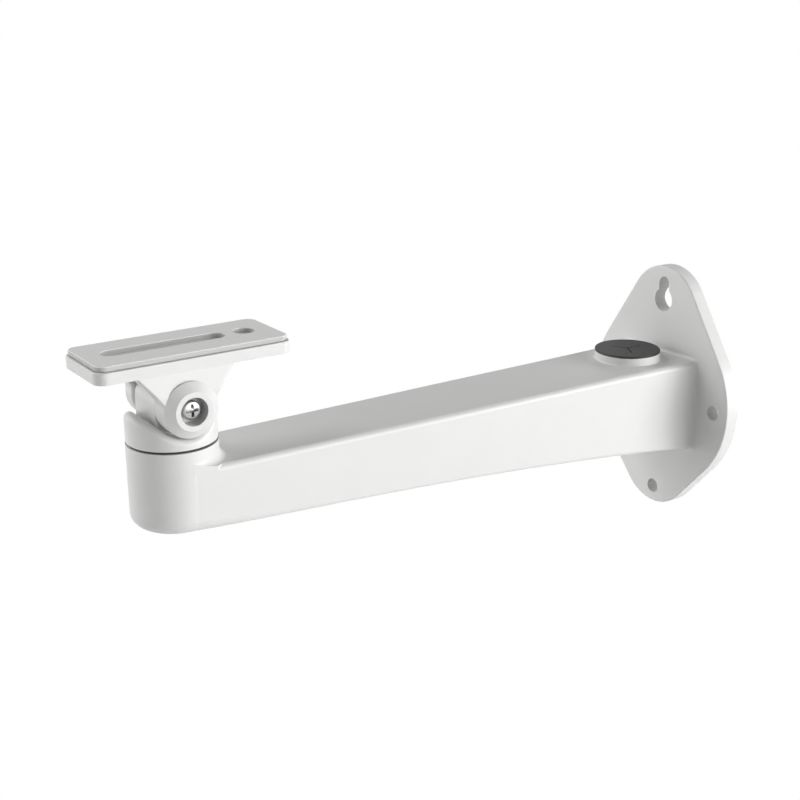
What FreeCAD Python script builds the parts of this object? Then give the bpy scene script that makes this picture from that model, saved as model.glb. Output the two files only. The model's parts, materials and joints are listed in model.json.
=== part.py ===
# Camera wall bracket: a die-cast arm on a wall flange, with a pan swivel and a tilting camera plate.
#
# Frame: the wall is the plane Y = 0, the arm runs along -Y, +Z is up and X = 0 is the plane of symmetry.
# The origin is the centre of the flange's back face, midway between its two side screw holes.
# Lengths are millimetres.
import FreeCAD, Part
import math
import os
import Sketcher

V = FreeCAD.Vector
UP = V(0, 0, 1)

# Driving sizes: alias, value in mm or degrees, what it measures.
SIZES = [
    ("flange_thickness", 7.5, "wall flange, back face to front face"),
    ("flange_radius", 48.5, "middle of the flange, half its width"),
    ("top_lobe_height", 45.8, "centre of the flange's top lobe above the origin"),
    ("top_lobe_radius", 23.4, "round end of the top lobe"),
    ("bottom_lobe_depth", 36.4, "centre of the flange's bottom lobe below the origin"),
    ("bottom_lobe_radius", 24.2, "round end of the bottom lobe"),
    ("flange_edge_round", 0.8, "rounded front edge of the flange"),
    ("side_hole_offset", 39.0, "side screw holes from the middle plane"),
    ("bottom_hole_depth", 52.0, "bottom screw hole below the origin"),
    ("flange_hole_radius", 3.75, "screw holes of the flange"),
    ("keyhole_height", 51.5, "wide part of the keyhole above the origin"),
    ("keyhole_radius", 6.1, "wide part of the keyhole, passes a screw head"),
    ("keyhole_rise", 8.6, "from the keyhole's wide part up to its narrow end"),
    ("keyhole_neck_radius", 3.6, "narrow part of the keyhole, half its width"),
    ("reach", 287.0, "wall to pan axis"),
    ("arm_top", 24.0, "flat top of the arm above the origin"),
    ("arm_tip_depth", 4.4, "underside of the arm at the boss, below the origin"),
    ("arm_root_depth", 24.2, "underside of the arm at the wall, below the origin"),
    ("arm_tip_slope", 0.0125, "slope of the underside where it leaves the boss"),
    ("arm_tip_half_width", 19.1, "half width of the arm at the pan axis"),
    ("arm_root_half_width", 24.9, "half width of the arm at the wall, before its flare"),
    ("root_flare", 1.3, "extra half width where the arm runs into the flange"),
    ("arm_top_round", 2.6, "rounded long edges on top of the arm"),
    ("arm_low_round", 1.6, "rounded long edges under the arm"),
    ("root_fillet", 7.5, "concave fillet between arm and flange"),
    ("wall", 3.4, "casting wall of the hollow arm"),
    ("cavity_end", 18.0, "front end of the hollow, back from the pan axis"),
    ("cavity_round", 2.5, "rounded inner corners of the hollow"),
    ("boss_radius", 19.2, "upright boss at the front of the arm"),
    ("boss_low_round", 6.2, "rounded lower end of the boss"),
    ("boss_foot_fillet", 3.2, "fillet where the boss rises out of the arm's top"),
    ("trim_allowance", 0.05, "boss foot beyond the arm's side"),
    ("deck_thickness", 9.0, "top of the boss, clamped by the pan bolt"),
    ("boss_bore_radius", 13.8, "wrench recess under the boss"),
    ("outlet_distance", 31.4, "cable outlet's axis from the wall"),
    ("outlet_radius", 16.5, "round collar of the cable outlet"),
    ("outlet_height", 4.3, "collar above the arm's top"),
    ("outlet_fillet", 2.4, "fillet at the foot of the collar"),
    ("outlet_bore_radius", 13.0, "cable hole through the collar"),
    ("plug_cap_thickness", 1.1, "rubber cap on the collar"),
    ("plug_cap_overhang", 0.15, "rubber cap beyond the collar"),
    ("plug_lip", 0.9, "snap lip of the plug beyond its stem"),
    ("plug_lip_height", 2.4, "height of the snap lip"),
    ("plug_lip_taper", 0.6, "snap lip narrower at its lower end"),
    ("plug_rim_round", 0.5, "rounded rim of the cap"),
    ("plug_skin", 1.6, "top of the plug over its hollow stem"),
    ("plug_hollow_wall", 2.0, "wall of the plug's hollow stem"),
    ("plug_slit_width", 0.5, "cable slits in the plug"),
    ("plug_slit_length", 9.0, "each of the three slits, from the middle"),
    ("plug_slit_depth", 0.7, "moulded crease of each slit"),
    ("seat_clearance", 0.10, "between a part and the hole or face that locates it"),
    ("swivel_height", 31.9, "top face of the boss above the origin"),
    ("washer_thickness", 1.1, "pan friction washer"),
    ("washer_set_in", 0.75, "pan friction washer inside the rim of the base"),
    ("base_radius", 19.0, "swivel base"),
    ("base_web", 3.9, "floor of the base under its saddle"),
    ("ear_radius", 11.8, "round lower end of the plate's two ears"),
    ("saddle_clearance", 1.5, "between the ears and the saddle of the base"),
    ("saddle_angle", 41.0, "flanks of the saddle above level"),
    ("horn_round", 2.4, "rounded upper rim of the base"),
    ("tongue_radius", 11.1, "round top of the tongue on the base"),
    ("tongue_half_width", 10.0, "half the tongue's thickness along the tilt axis"),
    ("tongue_round", 0.8, "rounded edges of the tongue"),
    ("side_clearance", 0.15, "between the tongue and each ear"),
    ("plate_length", 86.0, "camera plate along the arm"),
    ("plate_width", 35.9, "camera plate across the arm"),
    ("plate_shift", 5.7, "middle of the camera plate back from the pan axis"),
    ("plate_rise", 15.4, "underside of the camera plate above the tilt axis"),
    ("plate_thickness", 5.0, "camera plate"),
    ("plate_corner", 5.0, "corner radius of the camera plate"),
    ("plate_edge_round", 0.5, "rounded edges of the camera plate"),
    ("neck_angle", 50.0, "flanks of the neck above level"),
    ("neck_distance", 6.4, "flanks of the neck from the tilt axis"),
    ("neck_fillet", 4.0, "hollow between each ear and the neck"),
    ("ear_round", 0.8, "rounded outer edges of ears and neck"),
    ("ear_inner_round", 2.0, "rounded inner edges of the ears"),
    ("neck_slope_start", 7.0, "where the neck's near face starts to slope in, above the tilt axis"),
    ("hub_shoulder", 20.4, "near ear and the shoulder of its hub, from the middle plane"),
    ("hub_face_radius", 8.1, "flat ring on the hub of the near ear"),
    ("hub_face", 23.4, "flat ring from the middle plane"),
    ("recess_radius", 5.95, "screw recess in the near hub"),
    ("recess_floor", 17.2, "floor of the screw recess from the middle plane"),
    ("nut_floor", 13.8, "floor of the nut pocket from the middle plane"),
    ("pad_inset", 1.0, "non-slip pad inside the edge of the plate"),
    ("pad_thickness", 2.3, "non-slip pad"),
    ("pad_foot", 0.45, "height of the pad's recessed foot"),
    ("pad_foot_inset", 0.7, "foot of the pad inside its edge"),
    ("pad_edge_round", 0.5, "rounded top edge of the pad"),
    ("slot_radius", 4.75, "camera screw slot, half its width"),
    ("slot_front", 23.4, "front end centre of the slot, ahead of the pan axis"),
    ("slot_back", 21.3, "back end centre of the slot, behind the pan axis"),
    ("pin_hole_distance", 35.0, "round hole of the plate, behind the pan axis"),
    ("pin_hole_radius", 4.75, "round hole of the plate"),
    ("pan_bolt_radius", 4.0, "M8 pan bolt"),
    ("pan_bolt_head_flats", 13.0, "hexagon head across flats"),
    ("pan_bolt_head_height", 5.3, "hexagon head"),
    ("pan_bolt_gap", 3.2, "end of the pan bolt below the tilt screw"),
    ("pan_washer_radius", 8.0, "flat washer of the pan bolt"),
    ("pan_washer_thickness", 1.6, "flat washer of the pan bolt"),
    ("pan_spring_radius", 7.2, "spring washer of the pan bolt"),
    ("pan_spring_thickness", 2.0, "spring washer of the pan bolt"),
    ("spring_gap", 1.2, "split in a spring washer"),
    ("washer_clearance", 0.2, "washers round their bolt or screw"),
    ("thread_clearance", 0.02, "bolt or screw in its thread"),
    ("running_clearance", 0.08, "bolts and screws in the holes that turn on them"),
    ("tilt_screw_radius", 2.0, "M4 tilt screw"),
    ("tilt_head_radius", 4.0, "pan head of the tilt screw"),
    ("tilt_head_height", 2.6, "pan head of the tilt screw"),
    ("tilt_head_round", 1.0, "rounded edge of the pan head"),
    ("cross_span", 5.2, "cross recess, tip to tip"),
    ("cross_width", 1.15, "arm of the cross recess"),
    ("cross_depth", 1.7, "depth of the cross recess"),
    ("cross_turn", 8.0, "turn of the cross recess about the screw"),
    ("tilt_washer_radius", 4.5, "flat washers of the tilt screw"),
    ("tilt_washer_thickness", 0.8, "flat washers of the tilt screw"),
    ("tilt_spring_radius", 3.6, "spring washer of the tilt screw"),
    ("tilt_spring_thickness", 0.9, "spring washer of the tilt screw"),
    ("tilt_nut_flats", 7.0, "hexagon nut across flats"),
    ("tilt_nut_height", 3.2, "hexagon nut"),
    ("tilt_nut_fit", 0.15, "nut pocket around the nut, each side"),
    ("tilt_screw_end", 0.6, "tilt screw beyond its nut"),
    ("tongue_root", 3.0, "lower end of the tongue above the base's floor"),
    ("thread_runout", 1.0, "threaded hole beyond the end of the pan bolt"),
    ("root_overlap", 1.0, "how deep an added shape starts inside what carries it"),
    ("overcut", 1.0, "how far a cut runs past the solid it opens"),
]

doc = FreeCAD.newDocument("camera_wall_bracket")
sheet = doc.addObject("Spreadsheet::Sheet", "Sizes")
for row, (alias, value, note) in enumerate(SIZES, start=1):
    sheet.set(f"A{row}", alias)
    sheet.set(f"B{row}", str(value))
    sheet.set(f"C{row}", note)
    sheet.setAlias(f"B{row}", alias)
doc.recompute()

# Sizes that other sizes give, as expressions of the sheet's cells.
FLANGE_FRONT = "Sizes.flange_thickness"
DECK_FLOOR = "(Sizes.swivel_height - Sizes.deck_thickness)"
BASE_FLOOR = "(Sizes.swivel_height + Sizes.washer_thickness)"
SADDLE_RADIUS = "(Sizes.ear_radius + Sizes.saddle_clearance)"
TILT_HEIGHT = f"({BASE_FLOOR} + Sizes.base_web + {SADDLE_RADIUS})"
PLATE_FOOT = f"({TILT_HEIGHT} + Sizes.plate_rise)"
PLATE_TOP = f"({PLATE_FOOT} + Sizes.plate_thickness)"
PAD_TOP = f"({PLATE_TOP} + Sizes.pad_thickness)"
PAN_GRIP = f"({TILT_HEIGHT} - Sizes.tilt_screw_radius - Sizes.pan_bolt_gap - {BASE_FLOOR})"
EAR_INSIDE = "(Sizes.tongue_half_width + Sizes.side_clearance)"
OUTLET_TOP = "(Sizes.arm_top + Sizes.outlet_height)"
CAVITY_ROOF = "(Sizes.arm_top - Sizes.wall)"
PLUG_TOP = f"({OUTLET_TOP} + Sizes.plug_cap_thickness)"
SPAN = "(Sizes.reach - Sizes.flange_thickness)"
THROUGH = "(4 * Sizes.base_radius)"
BOLT_BORE = "(Sizes.pan_bolt_radius + Sizes.washer_clearance)"
SCREW_BORE = "(Sizes.tilt_screw_radius + Sizes.washer_clearance)"


def value(expression):
    """The number that an expression of the sheet's cells gives."""
    return float(sheet.evalExpression(expression))


def make_body(label):
    body = doc.addObject("PartDesign::Body", label)
    body.Label = label
    return body


def make_sketch(body, name, role, u="0", v="0", w="0"):
    """A sketch on one of the body's own origin planes, moved by u and v in the plane and w out of it."""
    sketch = body.newObject("Sketcher::SketchObject", name)
    plane = next(item for item in body.Origin.OriginFeatures if item.Role == role)
    sketch.AttachmentSupport = [(plane, "")]
    sketch.MapMode = "FlatFace"
    for axis, expression in (("x", u), ("y", v), ("z", w)):
        sketch.setExpression(f"AttachmentOffset.Base.{axis}", f"({expression}) * 1 mm")
    return sketch


def dimension(sketch, name, constraint, expression, unit="mm"):
    """One named dimension of a sketch, bound to an expression."""
    index = sketch.addConstraint(constraint)
    sketch.renameConstraint(index, name)
    sketch.setExpression(f"Constraints.{name}", f"({expression}) * 1 {unit}")


def circle(sketch, name, radius, x=None, y=None):
    """A circle of the given radius: on the sketch's origin, or at x and y."""
    edge = sketch.addGeometry(Part.Circle(spot_of(x, y), UP, value(radius)))
    place(sketch, name, edge, 3, x, y)
    dimension(sketch, name + "_r", Sketcher.Constraint("Radius", edge, value(radius)), radius)
    return edge


def spot_of(x, y):
    """The point at a pair of expressions, where None means on that axis."""
    return V(value(x or "0"), value(y or "0"), 0)


def place(sketch, name, edge, point, x, y):
    """Puts a point of an edge at x and y, where None means on that axis."""
    spot = sketch.getPoint(edge, point)
    if x is None:
        sketch.addConstraint(Sketcher.Constraint("PointOnObject", edge, point, -2))
    else:
        dimension(sketch, name + "_x", Sketcher.Constraint("DistanceX", -1, 1, edge, point, spot.x), x)
    if y is None:
        sketch.addConstraint(Sketcher.Constraint("PointOnObject", edge, point, -1))
    else:
        dimension(sketch, name + "_y", Sketcher.Constraint("DistanceY", -1, 1, edge, point, spot.y), y)


def outline(sketch, corners, name="corner"):
    """A closed outline of straight lines, whose corners are pairs of expressions."""
    spots = [spot_of(x, y) for x, y in corners]
    lines = []
    for here, there in zip(spots, spots[1:] + spots[:1]):
        lines.append(sketch.addGeometry(Part.LineSegment(here, there)))
    for here, there in zip(lines, lines[1:] + lines[:1]):
        sketch.addConstraint(Sketcher.Constraint("Coincident", here, 2, there, 1))
    for number, (line, (x, y)) in enumerate(zip(lines, corners)):
        place(sketch, f"{name}{number}", line, 1, x, y)


def box_outline(sketch, half_width, low, high):
    """A plain rectangle about the sketch's vertical axis."""
    left = f"-{half_width}"
    outline(sketch, [(left, low), (half_width, low), (half_width, high), (left, high)])


def rounded_rectangle(sketch, half_width, low, high, low_round, high_round):
    """A rectangle about the sketch's vertical axis, from low to high, with rounded corners."""
    w, a, b, r, s = [value(text) for text in (half_width, low, high, low_round, high_round)]
    bottom = sketch.addGeometry(Part.LineSegment(V(-w + r, a, 0), V(w - r, a, 0)))
    right = sketch.addGeometry(Part.LineSegment(V(w, a + r, 0), V(w, b - s, 0)))
    top = sketch.addGeometry(Part.LineSegment(V(w - s, b, 0), V(-w + s, b, 0)))
    left = sketch.addGeometry(Part.LineSegment(V(-w, b - s, 0), V(-w, a + r, 0)))
    lines = [bottom, right, top, left]
    corners = [(w - r, a + r, r, -90), (w - s, b - s, s, 0), (-w + s, b - s, s, 90), (-w + r, a + r, r, 180)]
    arcs = []
    for x, y, bend, start in corners:
        round_edge = Part.Circle(V(x, y, 0), UP, bend)
        arc = Part.ArcOfCircle(round_edge, math.radians(start), math.radians(start + 90))
        arcs.append(sketch.addGeometry(arc))
    for number in range(4):
        arc = arcs[number]
        sketch.addConstraint(Sketcher.Constraint("Tangent", lines[number], 2, arc, 1))
        sketch.addConstraint(Sketcher.Constraint("Tangent", arc, 2, lines[(number + 1) % 4], 1))
    for line, kind in zip(lines, ("Horizontal", "Vertical", "Horizontal", "Vertical")):
        sketch.addConstraint(Sketcher.Constraint(kind, line))
    dimension(sketch, "right", Sketcher.Constraint("DistanceX", -1, 1, right, 1, w), half_width)
    dimension(sketch, "left", Sketcher.Constraint("DistanceX", left, 1, -1, 1, w), half_width)
    dimension(sketch, "low", Sketcher.Constraint("DistanceY", -1, 1, bottom, 1, a), low)
    dimension(sketch, "high", Sketcher.Constraint("DistanceY", -1, 1, top, 1, b), high)
    dimension(sketch, "low_round", Sketcher.Constraint("Radius", arcs[0], r), low_round)
    dimension(sketch, "high_round", Sketcher.Constraint("Radius", arcs[1], s), high_round)
    sketch.addConstraint(Sketcher.Constraint("Equal", arcs[0], arcs[3]))
    sketch.addConstraint(Sketcher.Constraint("Equal", arcs[1], arcs[2]))


def obround(sketch, low, high, radius):
    """A slot along the sketch's vertical axis between two end centres."""
    a, b, r = [value(text) for text in (low, high, radius)]
    top = sketch.addGeometry(Part.ArcOfCircle(Part.Circle(V(0, b, 0), UP, r), 0, math.pi))
    left = sketch.addGeometry(Part.LineSegment(V(-r, b, 0), V(-r, a, 0)))
    end = Part.ArcOfCircle(Part.Circle(V(0, a, 0), UP, r), math.pi, 2 * math.pi)
    bottom = sketch.addGeometry(end)
    right = sketch.addGeometry(Part.LineSegment(V(r, a, 0), V(r, b, 0)))
    loop = [top, left, bottom, right]
    for here, there in zip(loop, loop[1:] + loop[:1]):
        sketch.addConstraint(Sketcher.Constraint("Tangent", here, 2, there, 1))
    sketch.addConstraint(Sketcher.Constraint("Vertical", left))
    place(sketch, "low", bottom, 3, None, low)
    place(sketch, "high", top, 3, None, high)
    dimension(sketch, "r", Sketcher.Constraint("Radius", top, r), radius)


def hexagon(sketch, across_flats):
    """A hexagon about the sketch's origin, with two corners on its vertical axis."""
    corner_radius = f"(({across_flats}) / 2 / cos(30 deg))"
    reach = value(corner_radius)
    ring = sketch.addGeometry(Part.Circle(V(0, 0, 0), UP, reach), True)
    sketch.addConstraint(Sketcher.Constraint("Coincident", ring, 3, -1, 1))
    turns = [math.radians(60 * number) for number in range(6)]
    corners = [V(reach * math.sin(turn), reach * math.cos(turn), 0) for turn in turns]
    lines = []
    for here, there in zip(corners, corners[1:] + corners[:1]):
        lines.append(sketch.addGeometry(Part.LineSegment(here, there)))
    for here, there in zip(lines, lines[1:] + lines[:1]):
        sketch.addConstraint(Sketcher.Constraint("Coincident", here, 2, there, 1))
        sketch.addConstraint(Sketcher.Constraint("PointOnObject", here, 1, ring))
    for line in lines[1:]:
        sketch.addConstraint(Sketcher.Constraint("Equal", lines[0], line))
    sketch.addConstraint(Sketcher.Constraint("PointOnObject", lines[0], 1, -2))
    dimension(sketch, "corner", Sketcher.Constraint("Radius", ring, reach), corner_radius)


def add_pad(body, name, sketch, length, middle=False):
    pad = body.newObject("PartDesign::Pad", name)
    pad.Profile = sketch
    pad.setExpression("Length", f"({length}) * 1 mm")
    pad.Midplane = middle
    doc.recompute()
    return pad


def cut_pocket(body, name, sketch, length, middle=False, upwards=False):
    """A pocket against the sketch's normal, or along it where upwards is set. It has to take volume away."""
    before = body.Shape.Volume
    pocket = body.newObject("PartDesign::Pocket", name)
    pocket.Profile = sketch
    pocket.setExpression("Length", f"({length}) * 1 mm")
    pocket.Midplane = middle
    pocket.Reversed = upwards
    doc.recompute()
    if not pocket.Shape.Volume < before - 1e-6:
        raise RuntimeError(f"{name} cut nothing")
    return pocket


def add_revolution(body, name, sketch, axis="V_Axis"):
    turned = body.newObject("PartDesign::Revolution", name)
    turned.Profile = sketch
    turned.ReferenceAxis = (sketch, [axis])
    turned.Angle = 360
    doc.recompute()
    return turned


def add_loft(body, name, kind, sections):
    loft = body.newObject(kind, name)
    loft.Profile = sections[0]
    loft.Sections = sections[1:]
    loft.Ruled = False
    doc.recompute()
    return loft


def round_edges(body, name, radius, wanted):
    """Rounds the edges of the body's last shape that the function wanted picks."""
    base = body.Tip
    found = [f"Edge{n}" for n, edge in enumerate(base.Shape.Edges, start=1) if wanted(edge)]
    if not found:
        raise RuntimeError(f"{name} found no edge")
    feature = body.newObject("PartDesign::Fillet", name)
    feature.Base = (base, found)
    feature.setExpression("Radius", f"({radius}) * 1 mm")
    doc.recompute()
    return feature


def box_of(edge):
    return edge.BoundBox


def near(a, b, slack=0.02):
    return abs(a - b) < slack


def level(edge, height):
    """Whether an edge lies flat at a height."""
    return near(box_of(edge).ZMin, height) and near(box_of(edge).ZMax, height)


def arm_casting():
    """Flange, hollow arm, cable collar and boss, cast in one piece."""
    body = make_body("arm_casting")
    flange_outline(body)

    def station(name, away, hollow=False, grow="0"):
        """A section of the arm at a distance from the wall, or of its hollow, one casting wall smaller."""
        along = f"((Sizes.reach - ({away})) / Sizes.reach)"
        back = f"(({away}) / Sizes.reach)"
        inset = "Sizes.wall" if hollow else "0"
        width = f"Sizes.arm_tip_half_width * {back} + Sizes.arm_root_half_width * {along}"
        run = f"(Sizes.reach - ({away}))"
        sag = "(Sizes.arm_root_depth - Sizes.arm_tip_depth - Sizes.arm_tip_slope * Sizes.reach)"
        depth = f"Sizes.arm_tip_depth + Sizes.arm_tip_slope * {run} + {sag} * {along} ^ 2 - {inset}"
        blend = f"Sizes.arm_low_round + (Sizes.boss_low_round - Sizes.arm_low_round) * {back} ^ 12"
        sketch = make_sketch(body, name, "XZ_Plane", w=away)
        low_round = "Sizes.cavity_round" if hollow else blend
        high_round = "Sizes.cavity_round" if hollow else "Sizes.arm_top_round"
        roof = f"Sizes.arm_top - {inset}"
        rounded_rectangle(sketch, f"{width} + {grow} - {inset}", f"-({depth})", roof, low_round, high_round)
        return sketch

    fractions = (0.12, 0.34, 0.56, 0.78)
    sections = [station("ArmRoot", FLANGE_FRONT, grow="Sizes.root_flare")]
    for number, share in enumerate(fractions):
        sections.append(station(f"ArmSection{number}", f"{FLANGE_FRONT} + {share} * {SPAN}"))
    sections.append(station("ArmTip", "Sizes.reach"))
    add_loft(body, "Arm", "PartDesign::AdditiveLoft", sections)

    boss = make_sketch(body, "BossProfile", "YZ_Plane", u="-Sizes.reach")
    boss_profile(boss)
    add_revolution(body, "Boss", boss)
    front = -value(FLANGE_FRONT)
    round_edges(body, "RootFillet", "Sizes.root_fillet", lambda edge: joins_flange(edge, front))
    collar = make_sketch(body, "CollarOutline", "XY_Plane", v="-Sizes.outlet_distance",
                         w="Sizes.arm_top - Sizes.root_overlap")
    circle(collar, "collar", "Sizes.outlet_radius")
    add_pad(body, "Collar", collar, "Sizes.outlet_height + Sizes.root_overlap")
    round_edges(body, "CollarFillet", "Sizes.outlet_fillet", lies_round_outlet)
    foot = make_sketch(body, "BossFootProfile", "YZ_Plane", u="-Sizes.reach")
    foot_profile(foot)
    ring = add_revolution(body, "BossFoot", foot)
    ring.Midplane = True
    ring.Angle = 180
    doc.recompute()
    above = "Sizes.swivel_height"
    for side in (1, -1):
        trim = make_sketch(body, f"FootTrim{side + 1}", "XY_Plane", v="-Sizes.reach", w=above)
        outer = f"{side} * (Sizes.boss_radius + 2 * Sizes.boss_foot_fillet)"
        far = "(Sizes.boss_radius + Sizes.boss_foot_fillet + 2 * Sizes.overcut)"
        spread = "(Sizes.arm_root_half_width - Sizes.arm_tip_half_width) / Sizes.reach"
        inner = f"{side} * (Sizes.boss_radius + Sizes.trim_allowance)"
        inner_far = f"{side} * (Sizes.boss_radius + Sizes.trim_allowance + {far} * {spread})"
        outline(trim, [(inner, "-Sizes.overcut"), (outer, "-Sizes.overcut"), (outer, far), (inner_far, far)])
        cut_pocket(body, f"FootSide{side + 1}", trim, f"{above} - Sizes.arm_top + Sizes.arm_top_round")

    depth = "(Sizes.reach - Sizes.cavity_end)"
    inside = [station("HollowMouth", "-Sizes.overcut", hollow=True)]
    for number, share in enumerate(fractions):
        inside.append(station(f"HollowSection{number}", f"{share} * {depth}", hollow=True))
    inside.append(station("HollowEnd", depth, hollow=True))
    add_loft(body, "Hollow", "PartDesign::SubtractiveLoft", inside)
    bore = make_sketch(body, "OutletBoreOutline", "XY_Plane", v="-Sizes.outlet_distance", w=OUTLET_TOP)
    circle(bore, "bore", "Sizes.outlet_bore_radius")
    cut_pocket(body, "OutletBore", bore, "Sizes.outlet_height + Sizes.wall + Sizes.overcut")
    wrench = make_sketch(body, "BossBoreOutline", "XY_Plane", v="-Sizes.reach",
                         w="-Sizes.arm_tip_depth - Sizes.overcut")
    circle(wrench, "bore", "Sizes.boss_bore_radius")
    cut_pocket(body, "BossBore", wrench, f"{DECK_FLOOR} + Sizes.arm_tip_depth + Sizes.overcut", upwards=True)
    pan_hole = make_sketch(body, "PanHoleOutline", "XY_Plane", v="-Sizes.reach", w="Sizes.swivel_height")
    circle(pan_hole, "hole", "Sizes.pan_bolt_radius + Sizes.running_clearance")
    cut_pocket(body, "PanHole", pan_hole, "Sizes.deck_thickness + Sizes.overcut")
    screws = make_sketch(body, "ScrewHoles", "XZ_Plane")
    for side in (1, -1):
        circle(screws, f"side{side + 1}", "Sizes.flange_hole_radius", x=f"{side} * Sizes.side_hole_offset")
    circle(screws, "bottom", "Sizes.flange_hole_radius", y="-Sizes.bottom_hole_depth")
    circle(screws, "keyhole", "Sizes.keyhole_radius", y="Sizes.keyhole_height")
    cut_pocket(body, "FlangeHoles", screws, "Sizes.flange_thickness", upwards=True)
    neck = make_sketch(body, "KeyholeNeckOutline", "XZ_Plane")
    neck_end = "Sizes.keyhole_height + Sizes.keyhole_rise"
    obround(neck, "Sizes.keyhole_height", neck_end, "Sizes.keyhole_neck_radius")
    cut_pocket(body, "KeyholeNeck", neck, "Sizes.flange_thickness", upwards=True)
    return body


def joins_flange(edge, front):
    """Whether an edge runs round the arm's root on the flange's front face."""
    box = box_of(edge)
    slack = value("Sizes.root_overlap") / 2
    half = value("Sizes.arm_root_half_width + Sizes.root_flare") + slack
    flat = near(box.YMin, front) and near(box.YMax, front)
    inside = box.XMin > -half and box.XMax < half and box.ZMin > -value("Sizes.arm_root_depth") - slack
    return flat and inside and box.ZMax < value("Sizes.arm_top") + slack


def lies_round_outlet(edge):
    """Whether an edge lies at the foot of the collar, on the arm's flat top."""
    if not level(edge, value("Sizes.arm_top")):
        return False
    middle = edge.valueAt((edge.FirstParameter + edge.LastParameter) / 2)
    away = math.hypot(middle.x, middle.y + value("Sizes.outlet_distance"))
    return near(away, value("Sizes.outlet_radius"), 0.05)


def foot_profile(sketch):
    """Section of the concave foot round the boss, from inside the boss to the arm's top."""
    r, bend, top = [value(f"Sizes.{alias}") for alias in ("boss_radius", "boss_foot_fillet", "arm_top")]
    sunk = top - value("Sizes.arm_top_round")
    inside = r - value("Sizes.root_overlap")
    full = Part.Circle(V(r + bend, top + bend, 0), UP, bend)
    arc = sketch.addGeometry(Part.ArcOfCircle(full, math.pi, 1.5 * math.pi))
    corners = [V(r + bend, top, 0), V(r + bend, sunk, 0), V(inside, sunk, 0), V(inside, top + bend, 0)]
    outer = sketch.addGeometry(Part.LineSegment(corners[0], corners[1]))
    floor = sketch.addGeometry(Part.LineSegment(corners[1], corners[2]))
    inner = sketch.addGeometry(Part.LineSegment(corners[2], corners[3]))
    roof = sketch.addGeometry(Part.LineSegment(corners[3], V(r, top + bend, 0)))
    loop = [(arc, 2), (outer, 2), (floor, 2), (inner, 2), (roof, 2)]
    starts = [outer, floor, inner, roof, arc]
    for (here, end), there in zip(loop, starts):
        sketch.addConstraint(Sketcher.Constraint("Coincident", here, end, there, 1))
    for line in (outer, inner):
        sketch.addConstraint(Sketcher.Constraint("Vertical", line))
    for line in (floor, roof):
        sketch.addConstraint(Sketcher.Constraint("Horizontal", line))
    crest = "Sizes.arm_top + Sizes.boss_foot_fillet"
    place(sketch, "centre", arc, 3, "Sizes.boss_radius + Sizes.boss_foot_fillet", crest)
    dimension(sketch, "bend", Sketcher.Constraint("Radius", arc, bend), "Sizes.boss_foot_fillet")
    sketch.addConstraint(Sketcher.Constraint("Horizontal", arc, 1, arc, 3))
    sketch.addConstraint(Sketcher.Constraint("Vertical", arc, 2, arc, 3))
    core = "Sizes.boss_radius - Sizes.root_overlap"
    place(sketch, "inside", inner, 1, core, "Sizes.arm_top - Sizes.arm_top_round")


def boss_profile(sketch):
    """Half section of the boss about its own axis, with a rounded lower end."""
    aliases = ("boss_radius", "arm_tip_depth", "swivel_height", "boss_low_round")
    r, depth, high, bend = [value(f"Sizes.{alias}") for alias in aliases]
    low = -depth
    points = [V(0, low, 0), V(r - bend, low, 0), V(r, low + bend, 0), V(r, high, 0), V(0, high, 0)]
    floor = sketch.addGeometry(Part.LineSegment(points[0], points[1]))
    corner = Part.Circle(V(r - bend, low + bend, 0), UP, bend)
    arc = sketch.addGeometry(Part.ArcOfCircle(corner, -math.pi / 2, 0))
    side = sketch.addGeometry(Part.LineSegment(points[2], points[3]))
    roof = sketch.addGeometry(Part.LineSegment(points[3], points[4]))
    axis = sketch.addGeometry(Part.LineSegment(points[4], points[0]))
    sketch.addConstraint(Sketcher.Constraint("Tangent", floor, 2, arc, 1))
    sketch.addConstraint(Sketcher.Constraint("Tangent", arc, 2, side, 1))
    sketch.addConstraint(Sketcher.Constraint("Coincident", side, 2, roof, 1))
    sketch.addConstraint(Sketcher.Constraint("Coincident", roof, 2, axis, 1))
    sketch.addConstraint(Sketcher.Constraint("Coincident", axis, 2, floor, 1))
    for line, kind in ((floor, "Horizontal"), (side, "Vertical"), (roof, "Horizontal")):
        sketch.addConstraint(Sketcher.Constraint(kind, line))
    place(sketch, "floor", floor, 1, None, "-Sizes.arm_tip_depth")
    place(sketch, "roof", roof, 2, None, "Sizes.swivel_height")
    dimension(sketch, "bend", Sketcher.Constraint("Radius", arc, bend), "Sizes.boss_low_round")
    dimension(sketch, "side", Sketcher.Constraint("DistanceX", -1, 1, side, 1, r), "Sizes.boss_radius")


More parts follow.
